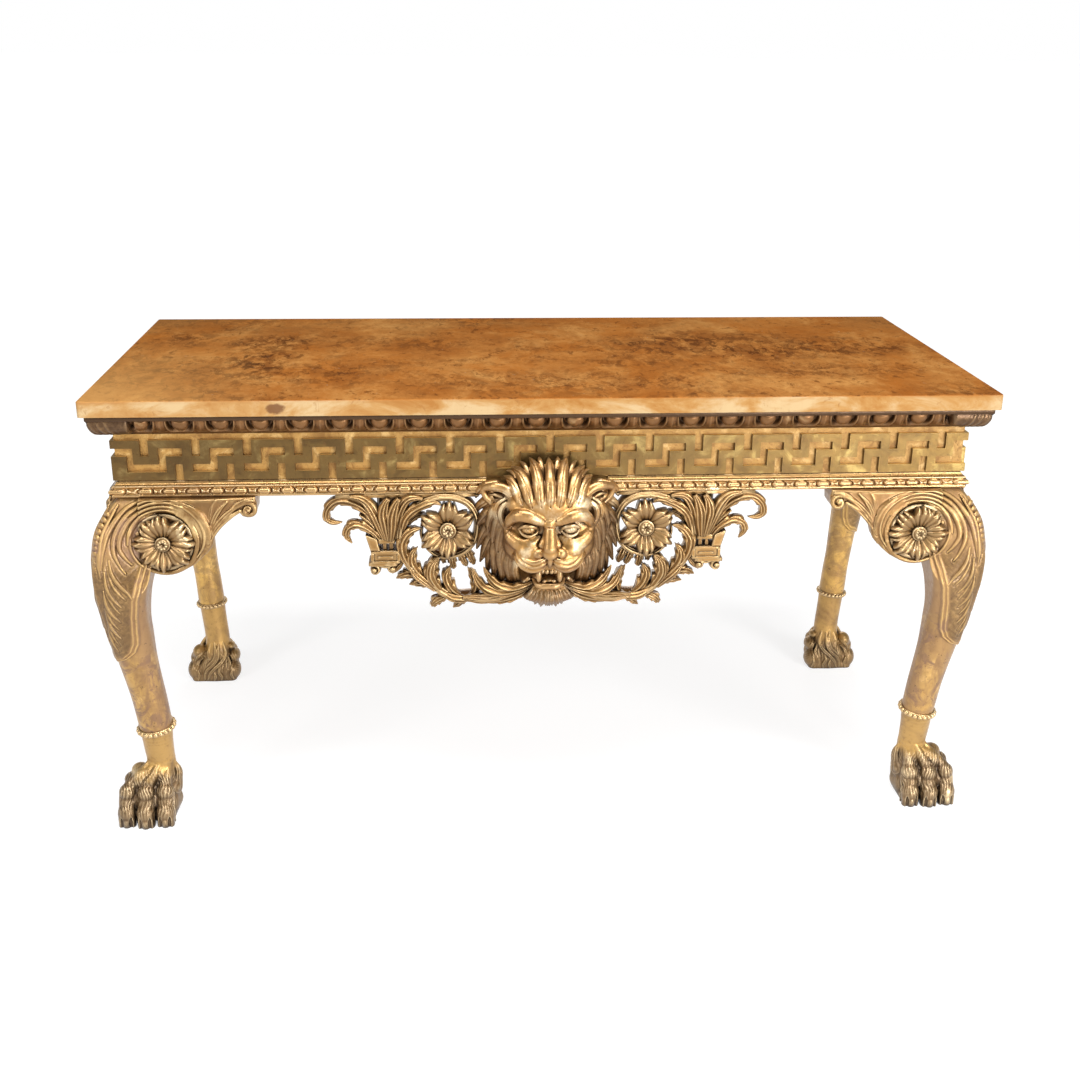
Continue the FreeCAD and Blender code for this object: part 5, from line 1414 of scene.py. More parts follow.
def gilt(name, light, mid, dark, deep, rough=(0.30, 0.52), metal=0.8, worn=0.35, reach=0.022, ao_lo=0.18, ao_hi=0.80, edge=0.5, grain=0.25, patch=14.0,
         smudge=0.0, upper=None, split=(0.09, 0.115), field=None, coat=0.40, underside_shade=0.45, tone=0.80, warm=(0.91, 0.78), lively=False, stain_and_shade=None, cavity=0.75, over=None, keep=0.45, inner_shade=0.0, drift=None, lip=None):
    """Old gilding: leaf over clay, burnished on the high parts and lightened there with painted highlight, dark with
    dirt and painted shade in the hollows, darker with painted shade on the undersides.
    """
    hue = (1.0, warm[0], warm[1])
    light = tuple(min(1.25 * tone * v, 1.0) for v in light)
    mid, dark, deep = (tuple(tone * h * v for h, v in zip(hue, c)) for c in (mid, dark, deep))
    stain_and_shade = tuple(tone * v for v in stain_and_shade) if stain_and_shade else deep
    upper = upper and tuple(tuple(tone * v for v in c) for c in upper)
    field = field and tuple(tuple(tone * v for v in c) for c in field)
    m, nt, bs = new_mat(name)
    n = Net(nt)
    broad = n.noise(patch, 5.0, 0.62, 0.6)
    fine = n.noise(patch * 9.0, 4.0, 0.6)
    at = (0.37, 0.47, 0.54, 0.68) if lively else (0.30, 0.47, 0.62, 0.74)
    tone = n.ramp(broad, list(zip(at, (dark, mid, mid, light))))
    if upper:
        hi = n.ramp(broad, list(zip(at, (upper[2], upper[1], upper[1], upper[0]))))
        at = n.math("ADD", n.axis(n.co, 2), n.span(n.noise(30.0, 3.0, 0.6), 0.3, 0.7, -0.014, 0.014))
        tone = n.mix(n.span(at, split[0], split[1]), tone, hi)
    fleck = n.span(fine, 0.56, 0.72, 0.0, worn)
    col = n.mix(fleck, tone, tuple(0.55 * a + 0.45 * b for a, b in zip(dark, (0.30, 0.12, 0.04))))
    if smudge > 0:
        sm = n.noise(21.0, 6.0, 0.7, 1.2)
        col = n.mix(n.span(sm, 0.47, 0.58, 0.0, smudge), col, stain_and_shade)
        haze = n.noise(9.0, 4.0, 0.6, 0.8)
        col = n.mix(n.span(haze, 0.46, 0.54, 0.0, smudge), col, tuple(0.5 * a + 0.5 * b for a, b in zip(mid, stain_and_shade)))
        drip = n.noise(34.0, 5.0, 0.65, 0.8, n.stretch(1.0, 1.0, 0.28))
        col = n.mix(n.span(drip, 0.50, 0.66, 0.0, smudge), col, tuple(0.6 * d + 0.4 * x for d, x in zip(dark, stain_and_shade)))
        spot = n.noise(120.0, 3.0, 0.7)
        col = n.mix(n.span(spot, 0.64, 0.72, 0.0, smudge * 1.6), col, deep)
    if inner_shade > 0:
        # painted shade: the sides turned to the middle of the table are duller, mixed towards the stain colour
        turn = n.math("MULTIPLY", n.axis(n.normal(), 0), n.axis(n.co, 0))
        col = n.mix(n.span(turn, -0.12, -0.55, 0.0, inner_shade), col, stain_and_shade)
    if field:
        at = nt.nodes.new("ShaderNodeAttribute")
        at.attribute_name = "tone"
        mot = n.ramp(n.noise(70.0, 5.0, 0.7, 1.0), [(0.34, field[0]), (0.52, field[1]), (0.68, field[2])])
        col = n.mix(n.math("MULTIPLY", at.outputs["Fac"], 0.88), col, mot)
    if edge > 0:
        # painted highlight: convex crests and edges are lightened towards the light colour
        e = n.span(n.edge(), 0.50, 0.565, 0.0, edge)
        if field:
            e = n.math("MULTIPLY", e, n.span(at.outputs["Fac"], 0.0, 1.0, 1.0, keep))
        col = n.mix(e, col, light)
        # painted shade: concave creases and grooves are darkened
        c = n.span(n.edge(), 0.41, 0.495, cavity, 0.0)
        col = n.mix(c, col, tuple(0.55 * d + 0.45 * x for d, x in zip(dark, deep)))
    if over:
        # painted light: faces turned upwards are lightened towards this colour
        col = n.mix(n.span(n.axis(n.normal(), 2), 0.35, 0.75), col, over)
    if drift:
        # colour scaled along the table from one end to the other
        col = n.mix(1.0, col, n.mix(n.span(n.axis(n.co, 0), -0.78, 0.78), drift[0], drift[1]), "MULTIPLY")
    if lip:
        col = n.mix(n.span(n.axis(n.co, 2), lip[0], lip[0] + 0.001), col, lip[1])
    if underside_shade > 0:
        # painted shade: faces turned downwards are darkened
        low = n.span(n.axis(n.normal(), 2), -0.75, 0.30, underside_shade, 0.0)
        col = n.mix(low, col, tuple(0.72 * d + 0.28 * x for d, x in zip(dark, deep)))
    # dirt and painted shade: occluded hollows go towards the deep colour
    occ = n.ao(reach)
    hol = n.span(occ, ao_lo, ao_hi)
    col = n.mix(hol, deep, col)
    n.link(col, bs.inputs["Base Color"])
    bs.inputs["Metallic"].default_value = metal
    rg = n.span(fine, 0.3, 0.7, rough[0], rough[1])
    n.link(rg, bs.inputs["Roughness"])
    bs.inputs["Specular IOR Level"].default_value = 0.4
    bs.inputs["Coat Weight"].default_value = coat
    bs.inputs["Coat Roughness"].default_value = 0.27
    n.bump(n.mix(0.5, n.noise(340.0, 3.0, 0.6), fine), grain, 0.0012, bs)
    return m


GOLD_L, GOLD_M, GOLD_D, GOLD_X = (0.88, 0.65, 0.34), (0.50, 0.290, 0.098), (0.28, 0.148, 0.048), (0.080, 0.041, 0.016)
LEG = ((0.80, 0.51, 0.180), (0.645, 0.375, 0.106), (0.38, 0.205, 0.067))
m_carve = gilt("carved gilding", GOLD_L, GOLD_M, GOLD_D, GOLD_X, ao_hi=0.86, cavity=0.55, edge=0.50, rough=(0.25, 0.46), tone=0.70, warm=(0.92, 0.76))
m_lion = gilt("mask gilding", (0.95, 0.77, 0.48), (0.55, 0.325, 0.113), (0.32, 0.168, 0.055), (0.115, 0.055, 0.018), rough=(0.27, 0.46), metal=0.86, worn=0.3, edge=0.6, ao_hi=0.88, lively=True, coat=0.45,
              field=((0.085, 0.041, 0.013), (0.17, 0.086, 0.028), (0.30, 0.162, 0.054)), tone=0.77, warm=(0.88, 0.68))
m_rose = gilt("flower gilding", (0.90, 0.70, 0.40), (0.42, 0.255, 0.094), (0.25, 0.138, 0.048), (0.075, 0.038, 0.015), rough=(0.24, 0.46), reach=0.016, ao_hi=0.90, edge=0.60, coat=0.45, tone=0.70)
m_knee = gilt("knee gilding", (0.85, 0.60, 0.27), (0.335, 0.186, 0.056), (0.24, 0.130, 0.044), (0.125, 0.064, 0.024), reach=0.012, smudge=0.30, rough=(0.30, 0.52), edge=0.7, ao_hi=0.84, lively=True,
              stain_and_shade=(0.27, 0.150, 0.062))
m_shank = gilt("leg gilding", LEG[0], LEG[1], LEG[2], (0.11, 0.056, 0.022), reach=0.012, smudge=1.0, rough=(0.34, 0.58), metal=0.62, edge=0.75, lively=True, warm=(1.0, 1.0), stain_and_shade=(0.28, 0.150, 0.086),
               upper=((0.84, 0.57, 0.24), (0.42, 0.245, 0.080), (0.27, 0.146, 0.048)), split=(0.33, 0.43), field=((0.095, 0.047, 0.016), (0.185, 0.099, 0.032), (0.33, 0.188, 0.064)), underside_shade=0.3, keep=0.95, inner_shade=0.40)
m_shank_r = gilt("rear leg gilding", (0.88, 0.56, 0.170), (0.78, 0.46, 0.112), (0.48, 0.262, 0.072), (0.11, 0.056, 0.022), reach=0.012, smudge=0.6, rough=(0.34, 0.58), metal=0.62, edge=0.6, lively=True,
                 warm=(1.0, 1.0), stain_and_shade=(0.27, 0.145, 0.062), upper=((0.84, 0.57, 0.22), (0.52, 0.300, 0.090), (0.33, 0.180, 0.056)), split=(0.33, 0.43),
                 field=((0.12, 0.060, 0.021), (0.23, 0.127, 0.043), (0.40, 0.235, 0.085)), underside_shade=0.3, keep=0.9, inner_shade=0.15)
m_foot = gilt("foot gilding", (0.84, 0.64, 0.37), (0.225, 0.140, 0.062), (0.105, 0.061, 0.028), (0.014, 0.008, 0.005), rough=(0.30, 0.54), metal=0.7, reach=0.024, worn=0.45, edge=0.85, cavity=0.9,
              upper=LEG, ao_hi=0.88, warm=(0.95, 0.90))
m_foot_r = gilt("rear foot gilding", (0.66, 0.47, 0.22), (0.31, 0.19, 0.075), (0.15, 0.088, 0.037), (0.024, 0.014, 0.007), rough=(0.34, 0.58), metal=0.7, reach=0.014, worn=0.4,
                edge=0.8, upper=LEG, split=(0.062, 0.092), warm=(0.95, 0.90))
m_bead = gilt("bead gilding", (0.95, 0.78, 0.50), (0.60, 0.375, 0.138), (0.42, 0.240, 0.083), (0.20, 0.100, 0.034), reach=0.005, edge=0.5, rough=(0.22, 0.42), ao_hi=0.72, coat=0.5)
m_egg = gilt("egg gilding", (0.50, 0.32, 0.15), (0.25, 0.126, 0.047), (0.15, 0.072, 0.027), (0.016, 0.0075, 0.003), rough=(0.28, 0.5), metal=0.72, reach=0.016, worn=0.3, edge=0.28, ao_hi=0.86,
             coat=0.12, underside_shade=0.1, warm=(0.88, 0.72), lip=(0.8164, (0.075, 0.038, 0.016)), field=((0.062, 0.033, 0.016), (0.125, 0.069, 0.033), (0.205, 0.118, 0.052)), keep=1.0)
m_fret = gilt("fret gilding", (0.38, 0.260, 0.098), (0.215, 0.134, 0.047), (0.130, 0.078, 0.028), (0.10, 0.057, 0.020), rough=(0.30, 0.5), metal=0.72, worn=0.5, reach=0.005, edge=0.0,
              patch=20.0, smudge=0.35, coat=0.06, lively=True, ao_lo=0.0, ao_hi=0.5, stain_and_shade=(0.13, 0.078, 0.030), tone=0.76, over=(0.72, 0.50, 0.21), drift=((0.94, 0.95, 0.90), (1.28, 1.34, 1.16)))
# rubbed wear and painted highlight: bright gold on the bevelled edges of the fret
m_rub_and_highlight = gilt("rubbed edge and painted highlight gilding", (0.98, 0.80, 0.46), (0.92, 0.66, 0.29), (0.30, 0.18, 0.066), (0.14, 0.080, 0.028), rough=(0.26, 0.44), metal=0.85, worn=0.35, reach=0.004, edge=0.0, patch=30.0,
             coat=0.06, lively=True, ao_lo=0.0, ao_hi=0.5)
m_ground = gilt("ground gilding", (0.84, 0.57, 0.23), (0.66, 0.415, 0.143), (0.42, 0.240, 0.080), (0.28, 0.150, 0.050), rough=(0.42, 0.62), metal=0.6, worn=0.85, reach=0.010, edge=0.0,
                grain=0.8, patch=34.0, coat=0.03, lively=True, drift=((1.0, 0.98, 0.94), (0.66, 0.66, 0.70)))
m_collar = gilt("collar gilding", (0.92, 0.70, 0.38), (0.52, 0.315, 0.11), (0.32, 0.175, 0.058), (0.06, 0.030, 0.011), reach=0.007, edge=0.5, rough=(0.24, 0.44), ao_hi=0.90)


KNOT = (-0.4794, -0.3365, 0.8394)
# clouds of brown flecks on the slab: centre, half widths, strength
CLOUDS = ((-0.545, -0.04, 0.055, 0.10, 1.0), (-0.55, 0.13, 0.07, 0.06, 0.8), (-0.72, 0.16, 0.06, 0.06, 0.6), (-0.63, -0.11, 0.07, 0.03, 0.7), (-0.28, 0.12, 0.12, 0.05, 0.45),
          (0.30, 0.10, 0.16, 0.08, 0.75), (0.44, 0.03, 0.10, 0.07, 0.8), (0.62, 0.07, 0.15, 0.07, 0.7), (0.55, -0.14, 0.16, 0.05, 0.5), (0.02, -0.22, 0.25, 0.08, 0.45))


def marble():
    m, nt, bs = new_mat("amber marble")
    n = Net(nt)
    base = n.ramp(n.noise(2.6, 6.0, 0.62, 0.5, n.stretch(0.8, 1.0, 1.0)), [(0.36, (0.215, 0.068, 0.0125)), (0.47, (0.270, 0.104, 0.0240)), (0.54, (0.315, 0.136, 0.035)), (0.64, (0.400, 0.200, 0.060))])
    streak = n.ramp(n.noise(11.0, 8.0, 0.70, 0.5, n.stretch(0.5, 1.2, 1.0)), [(0.36, (0.205, 0.066, 0.0120)), (0.50, (0.275, 0.108, 0.026)), (0.64, (0.385, 0.190, 0.054))])
    patchy = n.ramp(n.noise(9.0, 8.0, 0.72, 0.4, n.stretch(1.0, 0.7, 1.0)), [(0.37, (0.185, 0.054, 0.0095)), (0.50, (0.280, 0.108, 0.025)), (0.61, (0.430, 0.215, 0.064))])
    col = n.mix(0.45, n.mix(0.20, base, streak), patchy)
    fine = n.noise(80.0, 6.0, 0.74, 0.2, n.stretch(1.0, 0.65, 1.0))
    col = n.mix(n.span(fine, 0.47, 0.64, 0.0, 0.55), col, (0.185, 0.068, 0.016))
    amber = n.noise(4.2, 6.0, 0.66, 0.6, n.stretch(1.0, 0.8, 1.0))
    col = n.mix(n.span(amber, 0.48, 0.62, 0.0, 0.60), col, (0.262, 0.082, 0.0125))
    # where the flecks gather
    x, y = n.axis(n.co, 0), n.axis(n.co, 1)
    jag = n.span(n.noise(9.0, 5.0, 0.7), 0.3, 0.7, -0.8, 0.8)
    gather = n.span(n.noise(3.4, 4.0, 0.6, 0.0, n.stretch(0.7, 1.2, 1.0)), 0.46, 0.62, 0.0, 0.55)
    for cx, cy, rx, ry, k in CLOUDS:
        ex = n.math("MULTIPLY", n.math("SUBTRACT", x, cx), 1.0 / rx)
        ey = n.math("MULTIPLY", n.math("SUBTRACT", y, cy), 1.0 / ry)
        r = n.math("ADD", n.math("ADD", n.math("MULTIPLY", ex, ex), n.math("MULTIPLY", ey, ey)), jag)
        gather = n.math("MAXIMUM", gather, n.span(r, 0.2, 2.4, k, 0.0))
    fleck = n.noise(24.0, 8.0, 0.74, 0.5, n.stretch(1.05, 0.60, 1.0))
    col = n.mix(n.math("MULTIPLY", n.span(fleck, 0.44, 0.52), n.math("MULTIPLY", gather, 0.85)), col, (0.130, 0.040, 0.0092))
    spot = n.noise(40.0, 7.0, 0.76, 0.4, n.stretch(1.05, 0.60, 1.0))
    col = n.mix(n.math("MULTIPLY", n.span(spot, 0.505, 0.55), n.math("MULTIPLY", gather, 1.0)), col, (0.055, 0.0180, 0.0060))
    stray = n.math("MULTIPLY", n.span(n.noise(46.0, 7.0, 0.74, 0.4, n.stretch(0.95, 0.60, 1.0)), 0.57, 0.63), 0.70)
    col = n.mix(stray, col, (0.090, 0.0295, 0.0080))
    wob = nt.nodes.new("ShaderNodeVectorMath")
    wob.operation = "ADD"
    n.link(n.stretch(1.0, 0.75, 1.0), wob.inputs[0])
    warp = nt.nodes.new("ShaderNodeTexNoise")
    warp.inputs["Scale"].default_value = 12.0
    warp.inputs["Detail"].default_value = 6.0
    n.link(n.co, warp.inputs["Vector"])
    sc = nt.nodes.new("ShaderNodeVectorMath")
    sc.operation = "SCALE"
    sc.inputs["Scale"].default_value = 0.16
    n.link(warp.outputs["Color"], sc.inputs[0])
    n.link(sc.outputs[0], wob.inputs[1])
    crack = n.span(n.voronoi(13.0, "DISTANCE_TO_EDGE", wob.outputs[0]), 0.0, 0.035, 1.0, 0.0)
    crack = n.math("MULTIPLY", crack, n.span(n.noise(10.0, 4.0, 0.6), 0.50, 0.60, 0.0, 0.85))
    col = n.mix(n.math("MULTIPLY", crack, n.span(gather, 0.05, 0.5, 0.25, 1.0)), col, (0.070, 0.026, 0.0095))
    pits = n.span(n.noise(120.0, 3.0, 0.6), 0.70, 0.75, 0.0, 0.6)
    col = n.mix(pits, col, (0.26, 0.19, 0.12))
    # painted reflection haze: a greyer cloud towards the back of the slab; a yellow cloud at the left corner in front
    painted_back_haze = n.math("MULTIPLY", n.span(y, 0.05, 0.36), n.span(n.noise(2.6, 5.0, 0.6, 1.0), 0.42, 0.58))
    col = n.mix(n.math("MULTIPLY", painted_back_haze, 0.40), col, (0.235, 0.118, 0.038))
    gold = n.math("MULTIPLY", n.span(x, -0.50, -0.78), n.span(y, 0.20, -0.30))
    col = n.mix(n.math("MULTIPLY", gold, 0.6), col, (0.40, 0.215, 0.070))
    # the sawn edges are paler
    up = n.math("ABSOLUTE", n.axis(n.normal(), 2))
    side = n.span(up, 0.3, 0.75, 1.0, 0.0)
    pale = n.ramp(n.noise(12.0, 7.0, 0.66, 0.4, n.stretch(0.7, 0.7, 1.6)), [(0.36, (0.290, 0.122, 0.029)), (0.48, (0.365, 0.200, 0.070)), (0.60, (0.440, 0.312, 0.165))])
    saw = n.noise(60.0, 4.0, 0.6, 0.0, n.stretch(1.0, 1.0, 0.08))
    pale = n.mix(n.span(saw, 0.50, 0.68, 0.0, 0.16), pale, (0.300, 0.142, 0.042))
    pale = n.mix(n.span(n.noise(46.0, 6.0, 0.7, 0.8), 0.60, 0.68, 0.0, 0.55), pale, (0.22, 0.090, 0.026))
    pale = n.mix(n.math("MULTIPLY", n.span(n.axis(n.co, 2), 0.8485, 0.8535), n.span(n.noise(9.0, 5.0, 0.6), 0.42, 0.60, 0.15, 0.75)), pale, (0.300, 0.128, 0.034))
    left = n.span(x, -0.80, 0.10, 0.07, 0.0)
    pale = n.mix(left, pale, (0.95, 0.66, 0.34))
    knot = nt.nodes.new("ShaderNodeVectorMath")
    knot.operation = "SUBTRACT"
    n.link(n.co, knot.inputs[0])
    knot.inputs[1].default_value = KNOT
    kx = n.math("MULTIPLY", n.axis(knot.outputs[0], 0), 62.0)
    kz = n.math("MULTIPLY", n.axis(knot.outputs[0], 2), 105.0)
    ky = n.math("MULTIPLY", n.axis(knot.outputs[0], 1), 20.0)
    kr = n.math("ADD", n.math("ADD", n.math("MULTIPLY", kx, kx), n.math("MULTIPLY", kz, kz)), n.math("MULTIPLY", ky, ky))
    kr = n.math("ADD", kr, n.span(n.noise(90.0, 4.0, 0.6), 0.3, 0.7, -0.35, 0.35))
    pale = n.mix(n.span(kr, 0.6, 1.25, 0.85, 0.0), pale, (0.125, 0.052, 0.024))
    col = n.mix(side, col, pale)
    n.link(col, bs.inputs["Base Color"])
    n.link(n.span(fine, 0.3, 0.7, 0.24, 0.40), bs.inputs["Roughness"])
    bs.inputs["Specular IOR Level"].default_value = 0.0
    n.bump(n.noise(60.0, 4.0, 0.6), 0.04, 0.002, bs)
    return m


def pine():
    m, nt, bs = new_mat("old pine")
    n = Net(nt)
    g = n.noise(26.0, 5.0, 0.6, 1.4, n.stretch(0.12, 1.0, 1.6))
    f = n.noise(180.0, 3.0, 0.6, 0.3, n.stretch(0.05, 1.0, 1.0))
    col = n.ramp(g, [(0.30, (0.125, 0.062, 0.026)), (0.50, (0.23, 0.126, 0.057)), (0.70, (0.31, 0.186, 0.09))])
    col = n.mix(n.span(f, 0.45, 0.7, 0.0, 0.45), col, (0.14, 0.07, 0.03))
    # painted shade: darker where occlusion finds corners and recesses
    col = n.mix(n.span(n.ao(0.05), 0.2, 0.8), (0.05, 0.026, 0.012), col)
    n.link(col, bs.inputs["Base Color"])
    n.link(n.span(f, 0.3, 0.7, 0.62, 0.85), bs.inputs["Roughness"])
    bs.inputs["Specular IOR Level"].default_value = 0.3
    n.bump(g, 0.25, 0.001, bs)
    return m


def iron():
    m, nt, bs = new_mat("dark iron")
    n = Net(nt)
    g = n.noise(140.0, 4.0, 0.6)
    n.link(n.ramp(g, [(0.35, (0.05, 0.045, 0.04)), (0.65, (0.13, 0.105, 0.085))]), bs.inputs["Base Color"])
    bs.inputs["Metallic"].default_value = 0.8
    n.link(n.span(g, 0.3, 0.7, 0.40, 0.65), bs.inputs["Roughness"])
    n.bump(g, 0.2, 0.0006, bs)
    return m


m_marble, m_pine, m_iron = marble(), pine(), iron()

# ---------------------------------------------------------------- carved pieces
# lion mask
V, faces = lion_mesh(1.3)
put("lion mask carving", np.stack([V[:, 0], FRONT_Y - V[:, 1], V[:, 2]], 1), faces, "lion_mask", m_lion, lion_tone(V))

# scrolls and flowers of the apron
V, faces = scroll_right()
pair("apron scroll carving", V, faces, "apron_scroll", m_carve)
V, faces = flower_mesh(57, 6, 21.5, 3, False, 12.0, 0.0, 14, 4.0, twist=math.radians(30), tip=0.15, roll=0.54, fall=0.34, taper=0.20)
pair("apron flower carving", np.stack([183 + V[:, 0], -326 - V[:, 2], 601 + V[:, 1]], 1), faces, "apron_flower", m_rose)

# knee brackets and their flowers
V, faces = ear_field(1.3).mesh()
s, e, z = V[:, 0], V[:, 1], V[:, 2]
pair("front bracket carving", np.stack([HALF - s, FRONT_Y - e, z], 1), faces, "bracket_front", m_knee)
pair("side front bracket carving", np.stack([HALF + e, FRONT_Y + s, z], 1), faces, "bracket_side_front", m_knee)
pair("side rear bracket carving", np.stack([HALF + e, BACK_Y - s, z], 1), faces, "bracket_side_rear", m_knee)
V, faces = flower_mesh(56.0, 8, 19.5, 3, False, 11.0, 22.0, 13, 4.2, disc=(55.0, 26.0), tip=0.14, roll=0.52, fall=0.26, taper=0.13)
a, b, h = V[:, 0], V[:, 1], V[:, 2]
pair("front rosette carving", np.stack([HALF - 75.5 + a, FRONT_Y - h, 586 + b], 1), faces, "rosette_front", m_rose)
pair("side front rosette carving", np.stack([HALF + h, FRONT_Y + 75.5 + a, 586 + b], 1), faces, "rosette_side_front", m_rose)
pair("side rear rosette carving", np.stack([HALF + h, BACK_Y - 75.5 + a, 586 + b], 1), faces, "rosette_side_rear", m_rose)


# legs, and the square posts they run up into behind the corners of the frieze
def post_mesh(y0, y1):
    V = np.array([(x, y, z) for x in (HALF - 75.0, HALF + 0.6) for y in (y0, y1) for z in (668.0, 826.0)], float)
    return V, [np.array([(0, 1, 3, 2), (4, 6, 7, 5), (0, 4, 5, 1), (2, 3, 7, 6), (0, 2, 6, 4), (1, 5, 7, 3)])]


V, faces = leg_field(FRONT_LEG).mesh()
pair("front leg carving", np.stack([HALF + V[:, 0], FRONT_Y - V[:, 1], V[:, 2]], 1), faces, "leg_front", m_shank, leaf_tone(FRONT_LEG, False, V))
V, faces = leg_field(REAR_LEG, True).mesh()
pair("rear leg carving", np.stack([HALF + V[:, 0], BACK_Y - V[:, 1], V[:, 2]], 1), faces, "leg_rear", m_shank_r, leaf_tone(REAR_LEG, True, V))
for nm, y0, y1 in (("front", FRONT_Y - 0.6, FRONT_Y + 75.0), ("rear", BACK_Y - 75.0, BACK_Y + 0.6)):
    V, faces = post_mesh(y0, y1)
    for ob in pair(nm + " corner post", V, faces, "leg_" + nm, m_ground):
        ob.data.polygons.foreach_set("use_smooth", np.zeros(len(ob.data.polygons), bool))
        if nm == "rear":
            ob.data.materials.append(m_pine)
            ob.data.polygons.foreach_set("material_index", np.array([0, 0, 0, 1, 0, 0], np.int32))

# paws: the front pair tread to the room, the rear pair to the wall
V, faces = paw_field((4.75, 5.25, 31.2), 29.0, 76.0, 3, fur=0.85).mesh()
pair("front paw carving", np.stack([749.0 + V[:, 0], -291.0 - V[:, 1], V[:, 2]], 1), faces, "paw_front", m_foot)
V, faces = rear_paw_field((7.5, 1.5, 29.3), 46.0).mesh()
pair("rear paw carving", np.stack([738.0 + V[:, 0], 316.0 + V[:, 1], V[:, 2]], 1), faces, "paw_rear", m_foot_r)


# bead collars
def collar_mesh(centre, radius, tilt, count, bead):
    pile = Pile()
    nx = np.array([1.0, 0, -tilt[0]])
    nx /= np.linalg.norm(nx)
    up = np.array([tilt[0], tilt[1], 1.0])
    up /= np.linalg.norm(up)
    ny = np.cross(up, nx)
    ph = np.linspace(0, np.pi, 10)
    th = np.linspace(0, 2 * np.pi, 15)[:-1]
    unit = np.stack([np.sin(ph)[:, None] * np.cos(th), np.sin(ph)[:, None] * np.sin(th), np.cos(ph)[:, None] + 0 * th], -1).reshape(-1, 3)
    fc = grid_faces(10, 14, wrap_m=True)
    c = np.array(centre, float)
    for i in range(count):
        t = 2 * np.pi * i / count
        p = c + radius * (math.cos(t) * nx + math.sin(t) * ny)
        pile.add(p + unit * bead, fc)
    a = np.linspace(0, 2 * np.pi, 65)
    ring = c + (radius - 1.5) * (np.cos(a)[:, None] * nx + np.sin(a)[:, None] * ny)
    for dz, r in ((-3.6, 2.2), (3.6, 2.2), (0.0, 3.2)):
        pile.add(*tube(ring + up * dz, np.full(65, r), np.full(65, r), up, m=10))
    return pile.take()


for nm, c, r in (("front", (753.75, -296.25, 190.0), 33.6), ("rear", (745.5, 317.5, 190.0), 31.4)):
    V, faces = collar_mesh(c, r, (0.10, -0.10) if nm == "front" else (0.075, -0.02), 22, 5.0)
    pair(nm + " collar beads", V, faces, "collar_" + nm, m_collar)

# carved mouldings
def corner_tone(inward, out):
    """One on the leaf that wraps the mitre, nought along the eggs."""
    return np.clip((42.0 - (inward + out) / (1.0 + out / 45.0)) / 3.0, 0, 1)


V, faces = egg_strip(-HALF, HALF, 69.65, 47.5)
put("egg and dart front", np.stack([V[:, 0], FRONT_Y - V[:, 1], V[:, 2]], 1), faces, "egg_moulding_front", m_egg, corner_tone(HALF - np.abs(V[:, 0]), V[:, 1]))
V, faces = egg_strip(FRONT_Y, BACK_Y, 69.7, 16.0, corner1=False)
pair_e = np.stack([HALF + V[:, 1], V[:, 0], V[:, 2]], 1)
tone_e = corner_tone(V[:, 0] - FRONT_Y, V[:, 1])
put("egg and dart right", pair_e, faces, "egg_moulding_right", m_egg, tone_e)
put("egg and dart left", pair_e * np.array([-1.0, 1, 1]), faces, "egg_moulding_left", m_egg, tone_e)
V, faces = bead_strip(112.0, HALF, 42.0, HALF - 8.0, corner0=False)
pair("bead run front", np.stack([V[:, 0], FRONT_Y - V[:, 1], V[:, 2]], 1), faces, "bead_moulding_front", m_bead)
V, faces = bead_strip(FRONT_Y, BACK_Y, 42.0, FRONT_Y + 8.0, corner1=False)
side_b = np.stack([HALF + V[:, 1], V[:, 0], V[:, 2]], 1)
put("bead run right", side_b, faces, "bead_moulding_right", m_bead)
put("bead run left", side_b * np.array([-1.0, 1, 1]), faces, "bead_moulding_left", m_bead)

# ---------------------------------------------------------------- plain pieces keep their shape and take a finish
for nm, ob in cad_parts.items():
    if nm == "marble_top":
        mat, w = m_marble, 0.0022
    elif nm.startswith("key_fret"):
        mat, w = m_fret, 0.0022
    elif nm in ("front_rail", "left_rail", "right_rail"):
        mat, w = m_ground, 0.0
    elif nm.endswith("_screws"):
        mat, w = m_iron, 0.0
    else:
        mat, w = m_pine, 0.0
    ob.data.materials.clear()
    ob.data.materials.append(mat)
    if mat is m_fret:
        ob.data.materials.append(m_rub_and_highlight)
    if w:
        b = ob.modifiers.new("eased edges", "BEVEL")
        b.width = w
        b.segments = 3
        b.limit_method = "ANGLE"
        b.angle_limit = math.radians(40)
        if mat is m_fret:
            b.material = 1

# ---------------------------------------------------------------- studio
me = bpy.data.meshes.new("studio_floor")
me.from_pydata([(-60, -40, 0), (60, -40, 0), (60, 110, 0), (-60, 110, 0)], [], [(0, 1, 2, 3)])
floor = bpy.data.objects.new("studio_floor", me)
bpy.context.scene.collection.objects.link(floor)
m, nt, bs = new_mat("white floor")
n = Net(nt)
n.link(n.ramp(n.noise(0.4, 2.0), [(0.3, (FLOOR[0], FLOOR[0], FLOOR[0])), (0.7, (FLOOR[0] + 0.02, FLOOR[0] + 0.02, FLOOR[0] + 0.02))]), bs.inputs["Base Color"])
bs.inputs["Roughness"].default_value = 0.8
bs.inputs["Specular IOR Level"].default_value = 0.1
bs.inputs["Emission Color"].default_value = (1.0, 1.0, 1.0, 1.0)
far = nt.nodes.new("ShaderNodeVectorMath")
far.operation = "LENGTH"
n.link(n.co, far.inputs[0])
n.link(n.span(far.outputs["Value"], 1.2, 4.5, FLOOR[1], FLOOR[2]), bs.inputs["Emission Strength"])
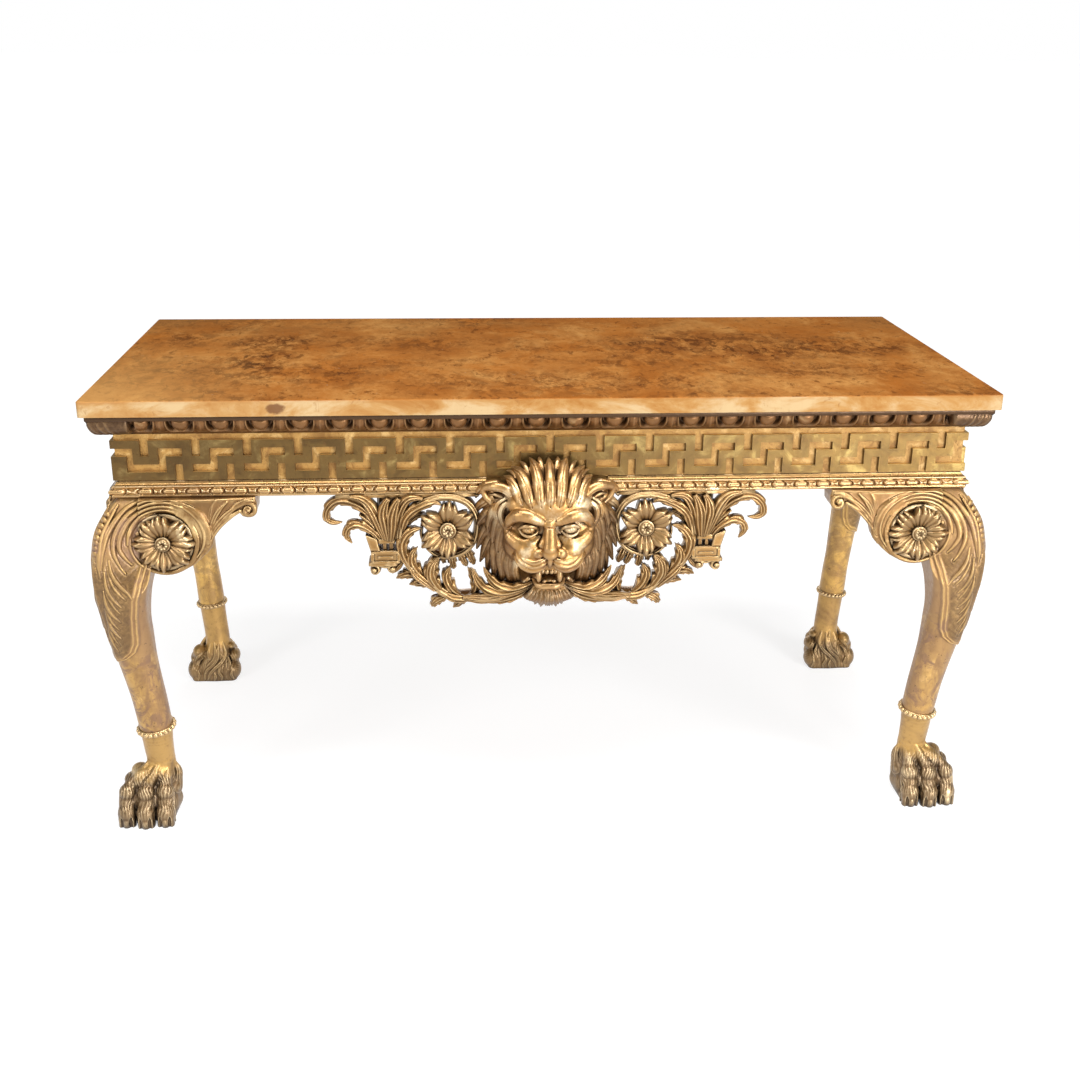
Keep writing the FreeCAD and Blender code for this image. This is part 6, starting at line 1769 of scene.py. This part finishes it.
me.materials.append(m)

# white round the horizon, a dimmer room above it
world = bpy.data.worlds.new("studio")
bpy.context.scene.world = world
world.use_nodes = True
wt = world.node_tree
bg = wt.nodes["Background"]
tc = wt.nodes.new("ShaderNodeTexCoord")
sx = wt.nodes.new("ShaderNodeSeparateXYZ")
wt.links.new(tc.outputs["Generated"], sx.inputs[0])
rp = wt.nodes.new("ShaderNodeValToRGB")
el = rp.color_ramp.elements
while len(el) < len(SKY):
    el.new(0.5)
for e, (p, v) in zip(el, SKY):
    e.position = p
    e.color = (v, v, v, 1.0)
wt.links.new(sx.outputs[2], rp.inputs[0])
wt.links.new(rp.outputs[0], bg.inputs["Color"])
bg.inputs["Strength"].default_value = WORLD


def lamp(name, loc, aim, size, power):
    l = bpy.data.lights.new(name, "AREA")
    l.shape = "RECTANGLE"
    l.size, l.size_y = size
    l.energy = power
    ob = bpy.data.objects.new(name, l)
    ob.location = loc
    d = Vector(aim) - Vector(loc)
    ob.rotation_euler = d.to_track_quat("-Z", "Y").to_euler()
    bpy.context.scene.collection.objects.link(ob)
    return ob


for args in LAMPS:
    lamp(*args)

cam = bpy.data.cameras.new("camera")
cam.sensor_width = 36.0
cam.lens = 1344.4258 / 1080.0 * 36.0
cam.clip_end = 400.0
co = bpy.data.objects.new("camera", cam)
pitch, yaw, roll = 0.3578463258, 0.0693048160, 0.0096740179
fw = Vector((math.sin(yaw) * math.cos(pitch), math.cos(yaw) * math.cos(pitch), -math.sin(pitch)))
rt = Vector((math.cos(yaw), -math.sin(yaw), 0.0))
up = rt.cross(fw)
r2 = math.cos(roll) * rt + math.sin(roll) * up
u2 = -math.sin(roll) * rt + math.cos(roll) * up
co.matrix_world = Matrix(((r2.x, u2.x, -fw.x, -0.1747688), (r2.y, u2.y, -fw.y, -2.6325214), (r2.z, u2.z, -fw.z, 1.4494082), (0, 0, 0, 1)))
bpy.context.scene.collection.objects.link(co)
bpy.context.scene.camera = co
bpy.context.scene.view_settings.view_transform = "Standard"
